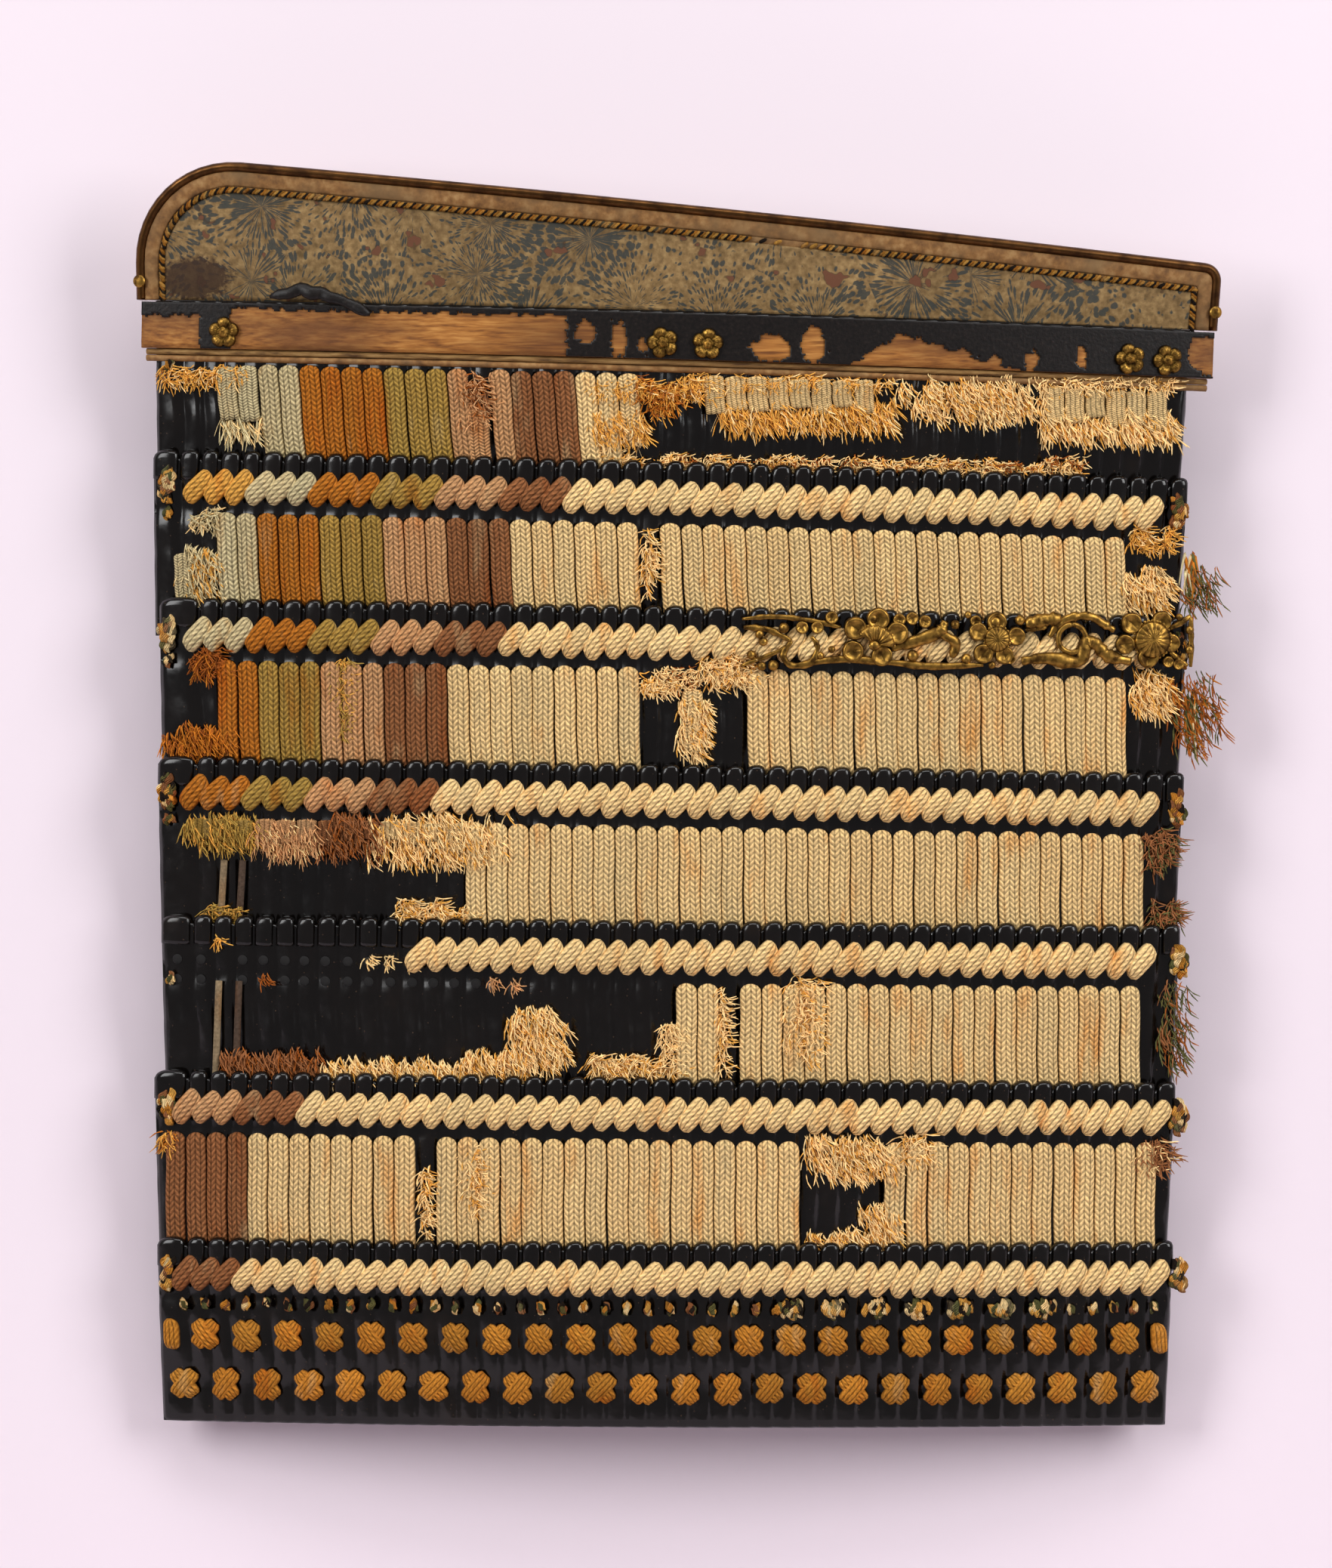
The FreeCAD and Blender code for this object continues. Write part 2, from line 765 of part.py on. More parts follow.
# A torn flap of skin that hangs over the top of the board
def make_flap():
    body = new_body("skin_flap", LAME_FRAMES[1])
    left = angle_at(-size("flap_left"))
    right = angle_at(-size("flap_right"))
    thick = size("skin_thickness")
    bent_strip(body, BOARD_FRONT + GAP, thick, left, right, size("flap_rise"), "sizes.flap_height")
    return body


def make_moulding(name, top):
    body = new_body(name, LAME_FRAMES[1])
    wide = size("moulding_width")
    proud = size("moulding_thickness")
    add_bend(body, [(BOARD_SEAT + GAP + x * proud, top - y * wide) for x, y in half_round_shares])
    right = size("board_right") - proud
    keep_only(body, box_wire(BOARD_LEFT + proud, right, top - 2 * wide, top + wide))
    return body


# Flower-headed rivets through skin, board, first lame and plate, as shares of the half board
flower_shares = [-0.826, -0.01, 0.073, 0.859, 0.93]
bare_hole_share = -0.91
petal_turn_share = 0.4
RIVET_ANGLES = [angle_at(BOARD_WIDE / 2 * share) for share in flower_shares]
RIVET_LOW = -size("flower_drop")
HEAD_SEAT = (BOARD_FRONT + GAP + size("skin_thickness")) / math.cos(FACET / 2) + GAP * 2
SHANK_BACK = plate_radius(-PLATE_FOOT) - PLATE
SHANK = size("flower_shank") / 2


# Five petals, each with a flat crown, meeting at waists
def flower(radius, waist, x=0, y=0):
    points = []
    half = math.pi / 5
    for petal in range(5):
        middle = (0.5 + petal * 0.4) * math.pi
        for reach, turn in ((waist, -half), (radius, -half * petal_turn_share), (radius, half * petal_turn_share)):
            angle = middle + turn
            points.append(vector(x + reach * math.cos(angle), y + reach * math.sin(angle), 0))
    return closed(points)


def make_flower_rivets():
    body = new_body("flower_rivets", LAME_FRAMES[1])
    petals = flower(size("flower_radius"), size("flower_waist"))
    for angle in RIVET_ANGLES:
        place = around_bend(HEAD_SEAT, angle, RIVET_LOW, size("lame_tilt"))
        add_pad(body, new_sketch(body, "XZ_Plane", [petals], place), "sizes.flower_head")
        shank = new_sketch(body, "XZ_Plane", [square(SHANK)], around_bend(SHANK_BACK, angle, RIVET_LOW))
        add_pad(body, shank, HEAD_SEAT - SHANK_BACK + size("flower_head") / 2)
    return body


def rivet_holes(body, angles):
    hole = square(SHANK + GAP)
    for angle in angles:
        cut_through(body, [hole], 4 * OVER, around_bend(HEAD_SEAT, angle, RIVET_LOW))


# An eye of thick wire on a tang that passes through its plate or board
def make_staples(label, frame, angles, radius, tang):
    body = new_body(label, frame)
    eye = size("staple_eye")
    wire = size("staple_wire")
    for angle in angles:
        turn = FreeCAD.Placement(vector(0, 0, 0), turned(Y_AXIS, math.degrees(angle)))
        rings = [polygon(eye + wire, 8, -radius), polygon(eye, 8, -radius)]
        add_pad(body, new_sketch(body, "YZ_Plane", rings, turn), "sizes.staple_tang", midplane=True)
        shank = box_wire(-radius - tang, -radius - eye - wire / 2, -TANG, TANG)
        add_pad(body, new_sketch(body, "YZ_Plane", [shank], turn), "sizes.staple_tang", midplane=True)
    return body


def make_seats(label, frame, angles, radius, lean):
    body = new_body(label, frame)
    disc = [polygon(size("seat_radius"), 10), square(TANG + SOFT)]
    for angle in angles:
        sketch = new_sketch(body, "XZ_Plane", disc, around_bend(radius, angle, 0, lean))
        add_pad(body, sketch, "sizes.seat_thickness", reverse=True)
    return body


# A ring of thick wire, hung from its eye by its highest stretch
RING_SIDES = 12


def make_ring(label, frame):
    body = new_body(label, frame)
    radius = size("ring_radius")
    wire = size("ring_wire")
    flat = math.cos(math.pi / RING_SIDES)
    turn = math.pi / RING_SIDES
    wires = [polygon(r / flat, RING_SIDES, 0, -radius, turn) for r in (radius + wire, radius - wire)]
    add_pad(body, new_sketch(body, "XZ_Plane", wires), "sizes.ring_wire * 2", midplane=True)
    return body


# The ring for a cord near the rear edge of the fourth board
MIZUNOMI_ANGLE = angle_at(size("mizunomi_place"))
MIZUNOMI_BACK = BEND - THICK
MIZUNOMI_EYE = MIZUNOMI_BACK - size("staple_reach")
MIZUNOMI_RISE = -size("mizunomi_drop")


def make_back_rings():
    reach = size("staple_reach")
    tilt = size("lame_tilt")
    row = row_frame(1, STAPLE_RISE)
    angles = STAPLE_ANGLES.values()
    pieces = [
        make_staples("ring_staples", row, angles, EYE_RADIUS, reach + LINING + PLATE - SOFT),
        make_seats("staple_seats", row, angles, EYE_RADIUS + reach - GAP * 2, PLATE_TILT),
    ]
    for side, angle in STAPLE_ANGLES.items():
        frame = staple_frame(LAME_FRAMES[1], EYE_RADIUS, angle, STAPLE_RISE, PLATE_TILT)
        pieces.append(make_ring(f"ring_{side}", frame))
    row = row_frame(4, MIZUNOMI_RISE)
    angles = [MIZUNOMI_ANGLE]
    frame = staple_frame(LAME_FRAMES[4], MIZUNOMI_EYE, MIZUNOMI_ANGLE, MIZUNOMI_RISE, tilt)
    pieces += [
        make_staples("mizunomi_staple", row, angles, MIZUNOMI_EYE, reach + THICK - STEP - SOFT),
        make_seats("mizunomi_seat", row, angles, MIZUNOMI_BACK - GAP, tilt),
        make_ring("mizunomi_ring", frame),
    ]
    return pieces


# Openwork plum branch on the third board: two waves of branch cross between open flowers
ORNAMENT_SEAT = BEND + GAP + size("rope_thickness") + SOFT
ornament_middle_share = 0.5
# Flowers along the branch (place along it, size) and half waves of the branch, as shares and a count
ornament_flower_shares = [(0.30, 1.0), (0.575, 0.82), (0.92, 0.98)]
HALF_WAVES = 7
WAVE_STEPS = 3
pin_shares = [0.30, 0.575, 0.92]
pin_lift_share = 0.55
wave_fade_share = 0.15
tip_share = 0.75
branch_reach_share = 0.86
flower_waist_share = 0.74
PIN = size("pin_shank") / 2


def wave_band(left, right, middle, high, wide, way):
    steps = HALF_WAVES * WAVE_STEPS
    line = []
    for n in range(steps + 1):
        share = n / steps
        swing = way * high * math.sin(math.pi * n / WAVE_STEPS) * (1 - share * wave_fade_share)
        line.append(vector(left + (right - left) * share, middle + swing, 0))
    half = vector(0, wide / 2, 0)
    return closed([line[0]] + [p + half for p in line[1:]] + [p - half for p in reversed(line[1:])])


def make_ornament():
    left = size("ornament_left")
    right = size("ornament_right")
    middle = size("ornament_top") - size("ornament_height") * ornament_middle_share
    high = (size("ornament_height") - size("branch_width")) / 2 * branch_reach_share
    shape = new_body("branch_outline", LAME_FRAMES[3])
    wide = size("branch_width")
    start = left + wide
    half = wide * tip_share
    tip = [(left, middle), (start, middle - half), (start + 2 * wide, middle), (start, middle + half)]
    wires = [wave_band(start, right, middle, high, wide, way) for way in (1, -1)]
    wires.append(closed([vector(x, y, 0) for x, y in tip]))
    for wire in wires:
        add_pad(shape, new_sketch(shape, "XZ_Plane", [wire]), "sizes.bend_radius + sizes.overrun")
    for share, scale in ornament_flower_shares:
        radius = size("ornament_flower") * scale
        petals = flower(radius, radius * flower_waist_share, left + (right - left) * share, middle)
        add_pad(shape, new_sketch(shape, "XZ_Plane", [petals]), "sizes.bend_radius + sizes.overrun")
    pin_holes(shape)
    sheet_body = new_body("branch_sheet", LAME_FRAMES[3])
    ends = (angle_at(left - OVER), angle_at(right + OVER))
    form = (size("ornament_thickness"), *ends, size("ornament_top"))
    bent_strip(sheet_body, ORNAMENT_SEAT, *form, "sizes.ornament_height")
    ornament = doc.addObject("Part::MultiCommon", "plum_ornament")
    ornament.Shapes = [shape, sheet_body]
    ornament.Label = "plum_ornament"
    return ornament


def pin_places():
    left = size("ornament_left")
    right = size("ornament_right")
    lift = size("ornament_flower") * pin_lift_share
    middle = size("ornament_top") - size("ornament_height") * ornament_middle_share
    return [(left + (right - left) * share, middle + lift) for share in pin_shares]


# Three pins hold the ornament to the heads of the scales, clear of the rope
def make_pins():
    body = new_body("ornament_pins", LAME_FRAMES[3])
    front = ORNAMENT_SEAT + size("ornament_thickness") + GAP
    back = BEND - THICK
    for x, z in pin_places():
        angle = angle_at(x)
        head = new_sketch(body, "XZ_Plane", [polygon(size("pin_radius"), 8)])
        head.AttachmentOffset = around_bend(front / math.cos(FACET / 2), angle, z, size("lame_tilt"))
        add_pad(body, head, "sizes.pin_head")
        shank = new_sketch(body, "XZ_Plane", [square(PIN)])
        shank.AttachmentOffset = around_bend(back, angle, z)
        add_pad(body, shank, front - back + size("pin_head") / 2)
    return body


def pin_holes(body):
    for x, z in pin_places():
        cut_through(body, [square(PIN + GAP)], 2 * OVER, around_bend(BEND, angle_at(x), z))


lames = {k: make_lame(k) for k in LAMES}
pieces = list(lames.values())
pieces += [make_rope(k) for k in LAMES[1:]]
pieces += [make_lacing(k) for k in LAMES[:-1]]
pieces += [make_thongs(k) for k in THONGS]
pieces += [make_edge_knots(k) for k in ROPES]
pieces += [make_edge_lacing(k) for k in EDGE_CORDS]
pieces += [
    make_knots("upper", 2, 23, "knot_row_1_rise", False),
    make_knots("lower", 1, 24, "knot_row_2_rise", True),
    make_end_stitches(),
    make_ridge_stitches(),
]
plate_layers = make_plate_layers()
board = make_board()
skin = make_skin()
pieces += plate_layers + [board, skin, make_flap(), make_rim_rivets(), make_flower_rivets()]
for body in (board, skin, plate_layers[0], lames[1]):
    rivet_holes(body, RIVET_ANGLES)
rivet_holes(board, [angle_at(BOARD_WIDE / 2 * bare_hole_share)])
tang_holes(lames[4], [MIZUNOMI_ANGLE], MIZUNOMI_BACK, MIZUNOMI_RISE)
pin_holes(lames[3])
moulding_top = BOARD_LOW - GAP
pieces.append(make_moulding("upper_moulding", moulding_top))
pieces.append(make_moulding("lower_moulding", moulding_top - GAP - size("moulding_width")))
pieces += make_back_rings()
pieces += [make_ornament(), make_pins()]

doc.recompute()
for item in doc.Objects:
    if {"Invalid", "Error"} & set(item.State):
        raise SystemExit(f"{item.Name} is {item.State}")
total = 0
for item in pieces:
    shape = item.Shape
    if shape.isNull() or not shape.isValid():
        raise SystemExit(f"{item.Label} has no valid shape")
for item in pieces:
    shape = item.Shape
    fine = min(0.5, max(0.01, shape.BoundBox.DiagonalLength * 0.0002))
    facets = len(shape.tessellate(fine)[1])
    total += facets
    print(item.Label, len(shape.Solids), "solids", round(shape.Volume), "mm3", facets)
    shape.exportStep(f"parts/{item.Label}.step")
print("facets", total)
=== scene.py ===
# Samurai shoulder guard: lacquered scale boards, silk lacing and a leather faced top plate.
import bmesh
import bpy
import math
import random
import numpy as np
from mathutils import Euler, Matrix, Vector, noise


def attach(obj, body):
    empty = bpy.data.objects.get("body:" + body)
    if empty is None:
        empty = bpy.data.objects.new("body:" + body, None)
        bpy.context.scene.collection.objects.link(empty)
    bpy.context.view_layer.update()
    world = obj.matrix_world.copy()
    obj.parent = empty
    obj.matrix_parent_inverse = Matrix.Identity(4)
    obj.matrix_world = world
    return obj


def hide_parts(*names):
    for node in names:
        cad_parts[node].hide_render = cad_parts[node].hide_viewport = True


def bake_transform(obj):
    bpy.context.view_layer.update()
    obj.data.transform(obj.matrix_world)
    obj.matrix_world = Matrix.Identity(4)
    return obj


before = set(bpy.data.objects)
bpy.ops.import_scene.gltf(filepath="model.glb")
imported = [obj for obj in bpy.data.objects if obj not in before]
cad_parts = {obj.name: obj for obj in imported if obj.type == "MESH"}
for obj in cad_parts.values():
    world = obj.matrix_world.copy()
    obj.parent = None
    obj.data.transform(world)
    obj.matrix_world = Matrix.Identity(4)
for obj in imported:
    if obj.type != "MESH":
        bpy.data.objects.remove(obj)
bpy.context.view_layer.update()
mm = 0.001
print("frame loaded")


# sRGB hex to linear colour
def linear(hexColour):
    parts = [int(hexColour[i:i + 2], 16) / 255 for i in (1, 3, 5)]
    return [p / 12.92 if p <= 0.04045 else ((p + 0.055) / 1.055) ** 2.4 for p in parts] + [1.0]


def addNode(tree, kind, inputs=None, **settings):
    made = tree.nodes.new(kind)
    for name, value in settings.items():
        setattr(made, name, value)
    for key, value in (inputs or {}).items():
        if isinstance(value, bpy.types.NodeSocket):
            tree.links.new(value, made.inputs[key])
        else:
            made.inputs[key].default_value = value
    return made


def grey(level):
    return (level, level, level, 1.0)


white = grey(1.0)


# Meshes are gathered as shells: parts of points, faces, tint per point and UV per point
def newShell():
    return {"points": [], "faces": [], "tint": [], "uv": [], "count": 0}


def addPart(shell, points, faces, tint=(1, 1, 1, 1), uv=None):
    points = np.asarray(points, float).reshape(-1, 3)
    number = len(points)
    tint = np.asarray(tint, float)
    tint = np.tile(tint, (number, 1)) if tint.ndim == 1 else tint.reshape(-1, 4)
    uv = np.zeros((number, 2)) if uv is None else np.asarray(uv, float).reshape(-1, 2)
    shell["faces"] += [[i + shell["count"] for i in face] for face in faces]
    shell["points"].append(points)
    shell["tint"].append(tint)
    shell["uv"].append(uv)
    shell["count"] += number


def gridFaces(rows, cols, start=0, wrap=False, flip=False):
    faces = []
    for r in range(rows - 1):
        for c in range(cols if wrap else cols - 1):
            n = (c + 1) % cols
            face = [start + r * cols + c, start + r * cols + n, start + (r + 1) * cols + n, start + (r + 1) * cols + c]
            faces.append(face[::-1] if flip else face)
    return faces


# A closed slab between two grids of the same size
def addSlab(shell, front, back, tint=(1, 1, 1, 1), uv=None):
    rows, cols = front.shape[:2]
    half = rows * cols
    faces = gridFaces(rows, cols) + gridFaces(rows, cols, half, flip=True)
    ring = [c for c in range(cols)] + [r * cols + cols - 1 for r in range(1, rows)]
    ring += [(rows - 1) * cols + c for c in range(cols - 2, -1, -1)] + [r * cols for r in range(rows - 2, 0, -1)]
    for a, b in zip(ring, ring[1:] + ring[:1]):
        faces.append([b, a, a + half, b + half])
    points = np.concatenate([front.reshape(-1, 3), back.reshape(-1, 3)])
    tint = np.asarray(tint, float)
    if tint.ndim > 1:
        tint = np.concatenate([tint.reshape(-1, 4)] * 2)
    if uv is not None:
        uv = np.concatenate([uv.reshape(-1, 2)] * 2)
    addPart(shell, points, faces, tint, uv)


# A closed tube of given radii along a path; squash flattens it front to back
def addTube(shell, path, radii, sides=10, tint=(1, 1, 1, 1), squash=1.0):
    path = np.asarray(path, float)
    turn = np.linspace(0, 2 * math.pi, sides, endpoint=False)
    count = len(path)
    rows = []
    for n, point in enumerate(path):
        along = path[min(n + 1, count - 1)] - path[max(n - 1, 0)]
        along = along / (np.linalg.norm(along) + 1e-12)
        side = np.cross(along, (0, 1, 0))
        side = side / (np.linalg.norm(side) + 1e-12)
        out = np.cross(side, along)
        rows.append(point + radii[n] * (np.outer(np.cos(turn), side) + squash * np.outer(np.sin(turn), out)))
    faces = gridFaces(count, sides, wrap=True)
    faces.append(list(range(sides)))
    faces.append([(count - 1) * sides + n for n in range(sides - 1, -1, -1)])
    addPart(shell, rows, faces, tint)


# A slab drawn row by row: the rule gives the points of its front and back, and its UV if it has one
def addRows(shell, values, rule, unit=1.0):
    front, back, *uv = (np.array(part) for part in zip(*(rule(value) for value in values)))
    addSlab(shell, front * unit, back * unit, uv=uv[0] if uv else None)


# Height of a rounded profile, 1 in its middle and 0 at its sides
def rounded(place, power):
    return np.sqrt(np.clip(1 - np.abs(place) ** power, 0, 1))


def addObject(name, data):
    made = bpy.data.objects.new(name, data)
    bpy.context.scene.collection.objects.link(made)
    return made


def build(name, shell, material, body=None, replaced=()):
    mesh = bpy.data.meshes.new(name)
    points = np.concatenate(shell["points"])
    mesh.from_pydata(points.tolist(), [], shell["faces"])
    tint = mesh.attributes.new("tint", "FLOAT_COLOR", "POINT")
    tint.data.foreach_set("color", np.concatenate(shell["tint"]).astype(np.float32).ravel())
    corner = np.zeros(len(mesh.loops), np.int32)
    mesh.loops.foreach_get("vertex_index", corner)
    layer = mesh.uv_layers.new(name="UVMap")
    layer.data.foreach_set("uv", np.concatenate(shell["uv"])[corner].astype(np.float32).ravel())
    work = bmesh.new()
    work.from_mesh(mesh)
    bmesh.ops.recalc_face_normals(work, faces=work.faces)
    work.to_mesh(mesh)
    work.free()
    mesh.shade_smooth()
    mesh.materials.append(materials[material])
    return dress(addObject(name, mesh), body, replaced)


def dress(made, body, replaced):
    if body:
        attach(made, body)
    if replaced:
        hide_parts(*replaced)
    return made


# Boards: every bent piece is placed by its distance along a board, its height above the head line
# and how far it stands in front of the crests of the scales, all in millimetres
boards = {
    "bend": 700.0,  # radius of the bend
    "lean": math.tan(math.radians(6.2)),
    "side": -0.46,
    "front": -6.754,
    "head": -15.993,
    "thick": 2.6,
    "gap": 2.1,
    "height": 59.3,
    "taper": 2.0,
    "pitch": 6.8,
    "drops": [0, 47.5, 45.8, 50.2, 49.7, 49.9, 52.3],
    "lefts": [164.8, 165.6, 163.7, 164.2, 163.2, 165.4, 164.6],
    "rights": [167.5, 166.8, 166.6, 165.4, 164.2, 162.7, 162.0],
    "slopes": [1.65, 1.6, 1.1, 1.0, 0.6, 0.7, 0.25],
}
bend = boards["bend"]
pitch = boards["pitch"]
photoScale = 0.24  # millimetres to a pixel of the photograph
photoMiddle = 888.0
photoTop = 347  # row of the photograph at height 0


def boardPlace(k):
    front = boards["front"]
    head = boards["head"]
    for drop in boards["drops"][1:k]:
        front += drop * boards["lean"] - boards["thick"] - boards["gap"]
        head -= drop
    return boards["side"], front, head, math.radians(boards["slopes"][k - 1])


# Distance along a board at a distance across it, and both in pixels of the photograph
def alongBoard(x):
    return bend * math.asin(x / bend)


def pixelAcross(x):
    return (x + boards["side"]) / photoScale + photoMiddle


def pixelOf(s):
    return pixelAcross(bend * math.sin(s / bend))


def placeAt(px):
    return alongBoard((px - photoMiddle) * photoScale - boards["side"])


# Body that carries a board
def bodyOf(k):
    return "plate" if k == 1 else f"board_{k}"


def onBoard(k, s, z, d=0.0):
    side, front, head, slope = boardPlace(k)
    s, z, d = np.broadcast_arrays(np.asarray(s, float), np.asarray(z, float), np.asarray(d, float))
    turn = s / bend
    x = (bend + d) * np.sin(turn)
    y = bend - (bend + d) * np.cos(turn) - z * boards["lean"]
    across = side + x * math.cos(slope) + z * math.sin(slope)
    up = head - x * math.sin(slope) + z * math.cos(slope)
    return np.stack([across, front + y, up], -1) * mm


# Turn of an item on a board: its X runs along the board, its -Y looks out of it
def boardTurn(k, s, roll=0.0, pitchUp=0.0):
    base = onBoard(k, s, 0.0)
    right = Vector(onBoard(k, s + 1, 0.0) - base).normalized()
    up = Vector(onBoard(k, s, 1.0) - base).normalized()
    right = (right - up * right.dot(up)).normalized()
    back = up.cross(right)
    turn = Matrix((right, back, up)).transposed()
    turn = turn @ Matrix.Rotation(roll, 3, "Y") @ Matrix.Rotation(pitchUp, 3, "X")
    return list(turn.to_euler())


def scaleEdges(k):
    left = -alongBoard(boards["lefts"][k - 1])
    right = alongBoard(boards["rights"][k - 1])
    count = math.floor((right - left) / pitch - 1.05)
    return [left] + [right - n * pitch for n in range(count, -1, -1)]


# Geometry Nodes: one item on each point, with the point's own turn, stretch and tint
def repeatTree(name, item, material):
    tree = bpy.data.node_groups.new(name, "GeometryNodeTree")

    def socket(label, kind, way="INPUT"):
        tree.interface.new_socket(label, in_out=way, socket_type="NodeSocket" + kind)

    def vector(operation, first, second):
        label = "Scale" if operation == "SCALE" else 1
        return addNode(tree, "ShaderNodeVectorMath", {0: first, label: second}, operation=operation).outputs[0]

    def stored(label):
        return addNode(tree, "GeometryNodeInputNamedAttribute", {"Name": label}, data_type="FLOAT_VECTOR").outputs[0]

    socket("Geometry", "Geometry")
    socket("Size jitter", "Float")
    socket("Turn jitter", "Float")
    socket("Seed", "Int")
    socket("Geometry", "Geometry", "OUTPUT")
    start = addNode(tree, "NodeGroupInput").outputs
    shape = addNode(tree, "GeometryNodeObjectInfo", {"Object": item})
    limits = {"Min": (-1, -1, -1), "Max": (1, 1, 1), "Seed": start["Seed"]}
    shake = addNode(tree, "FunctionNodeRandomValue", limits, data_type="FLOAT_VECTOR").outputs[0]
    turned = vector("ADD", stored("turn"), vector("SCALE", shake, start["Turn jitter"]))
    swell = vector("ADD", vector("SCALE", shake, start["Size jitter"]), (1, 1, 1))
    placed = addNode(tree, "GeometryNodeInstanceOnPoints", {
        "Points": start["Geometry"], "Instance": shape.outputs["Geometry"],
        "Rotation": addNode(tree, "FunctionNodeEulerToRotation", {0: turned}).outputs[0],
        "Scale": vector("MULTIPLY", swell, stored("stretch")),
    })
    real = addNode(tree, "GeometryNodeRealizeInstances", {"Geometry": placed.outputs[0]})
    painted = addNode(tree, "GeometryNodeSetMaterial", {"Geometry": real.outputs[0], "Material": material})
    addNode(tree, "NodeGroupOutput", {0: painted.outputs[0]})
    return tree


# places: list of (point in metres, turn, stretch, tint)
def repeated(name, item, places, material, body, replaced, seed, sizeJitter=0.0, turnJitter=0.0):
    mesh = bpy.data.meshes.new(name)
    mesh.from_pydata([tuple(p[0]) for p in places], [], [])
    kinds = [("turn", "FLOAT_VECTOR", "vector"), ("stretch", "FLOAT_VECTOR", "vector"),
             ("tint", "FLOAT_COLOR", "color")]
    for column, (label, kind, field) in enumerate(kinds, start=1):
        layer = mesh.attributes.new(label, kind, "POINT")
        layer.data.foreach_set(field, np.array([p[column] for p in places], np.float32).ravel())
    source = addObject(name + "Points", mesh)
    tree = repeatTree(name + "Tree", item, materials[material])
    modifier = source.modifiers.new("repeat", "NODES")
    modifier.node_group = tree
    values = {"Seed": seed, "Size jitter": sizeJitter, "Turn jitter": turnJitter}
    for socket in tree.interface.items_tree:
        if socket.in_out == "INPUT" and socket.name in values:
            modifier[socket.identifier] = values[socket.name]
    bpy.context.view_layer.update()
    seen = source.evaluated_get(bpy.context.evaluated_depsgraph_get())
    result = bpy.data.meshes.new_from_object(seen)
    result.name = name
    bpy.data.objects.remove(source)
    made = addObject(name, result)
    if not result.materials:
        result.materials.append(materials[material])
    for spare in ("turn", "stretch"):
        if spare in result.attributes:
            result.attributes.remove(result.attributes[spare])
    result.shade_smooth()
    return dress(made, body, replaced)


items = []


# An item takes its tint from the points, unless it has one of its own
def item(name, shell, ownTint=False):
    made = build(name, shell, "plain")
    if not ownTint:
        made.data.attributes.remove(made.data.attributes["tint"])
    bpy.context.scene.collection.objects.unlink(made)
    items.append(made)
    return made


def slabItem(name, values, rule, unit=mm):
    shell = newShell()
    addRows(shell, values, rule, unit)
    return item(name, shell)


# Materials
materials = {}


def newMaterial(name, roughness, metallic=0.0, ior=1.5, specular=0.5):
    made = bpy.data.materials.new(name)
    made.use_nodes = True
    tree = made.node_tree
    shader = tree.nodes["Principled BSDF"]
    values = {"Roughness": roughness, "Metallic": metallic, "IOR": ior, "Specular IOR Level": specular}
    for label, value in values.items():
        shader.inputs[label].default_value = value
    materials[name] = made
    return tree, shader, addNode(tree, "ShaderNodeTexCoord").outputs


def calc(tree, operation, *values):
    return addNode(tree, "ShaderNodeMath", dict(enumerate(values)), operation=operation).outputs[0]


def tintOf(tree):
    return addNode(tree, "ShaderNodeAttribute", attribute_name="tint").outputs["Color"]


def ramp(tree, factor, stops):
    made = addNode(tree, "ShaderNodeValToRGB", {"Fac": factor})
    while len(made.color_ramp.elements) < len(stops):
        made.color_ramp.elements.new(0.5)
    for element, (place, colour) in zip(made.color_ramp.elements, stops):
        element.position = place
        element.color = linear(colour) if isinstance(colour, str) else (colour, colour, colour, 1)
    return made.outputs["Color"]


def mixColour(tree, factor, first, second, kind="MIX"):
    made = addNode(tree, "ShaderNodeMix", {0: factor, 6: first, 7: second}, data_type="RGBA", blend_type=kind)
    return made.outputs[2]


def times(tree, first, second):
    return mixColour(tree, 1.0, first, second, "MULTIPLY")


# Noise with features of about the given size in millimetres
def noiseOn(tree, coords, size, detail=3.0, stretch=(1, 1, 1)):
    mapped = addNode(tree, "ShaderNodeMapping", {"Vector": coords["Object"], "Scale": stretch})
    inputs = {"Vector": mapped.outputs[0], "Scale": perMetre / size, "Detail": detail, "Roughness": 0.55}
    return addNode(tree, "ShaderNodeTexNoise", inputs).outputs["Fac"]


def bump(tree, shader, height, distance, strength=1.0):
    made = addNode(tree, "ShaderNodeBump", {"Height": height, "Distance": distance, "Strength": strength})
    tree.links.new(made.outputs[0], shader.inputs["Normal"])


def paint(tree, shader, colour):
    tree.links.new(colour, shader.inputs["Base Color"])


perMetre = 1000.0  # pattern scales are written as one over their size in millimetres

# Urushi lacquer over rawhide and iron scales: brown black and mirror smooth, with a little dust in it
tree, shader, coords = newMaterial("urushiLacquer", roughness=0.2, specular=0.4)
cloudy = noiseOn(tree, coords, 22)
worn = noiseOn(tree, coords, 5, 6)
base = ramp(tree, cloudy, [(0.35, "#070504"), (0.62, "#0d0907"), (0.8, "#1a120c")])
dust = addNode(tree, "ShaderNodeTexVoronoi", {"Vector": coords["Object"], "Scale": perMetre / 2.6})
speck = ramp(tree, dust.outputs["Distance"], [(0.05, 1.0), (0.1, 0.0)])
speck = calc(tree, "MULTIPLY", speck, worn)
paint(tree, shader, mixColour(tree, speck, base, linear("#5a4636")))
dull = ramp(tree, worn, [(0.35, 0.1), (0.75, 0.26)])
tree.links.new(dull, shader.inputs["Roughness"])
bump(tree, shader, noiseOn(tree, coords, 7, 2), 0.0003, 0.4)

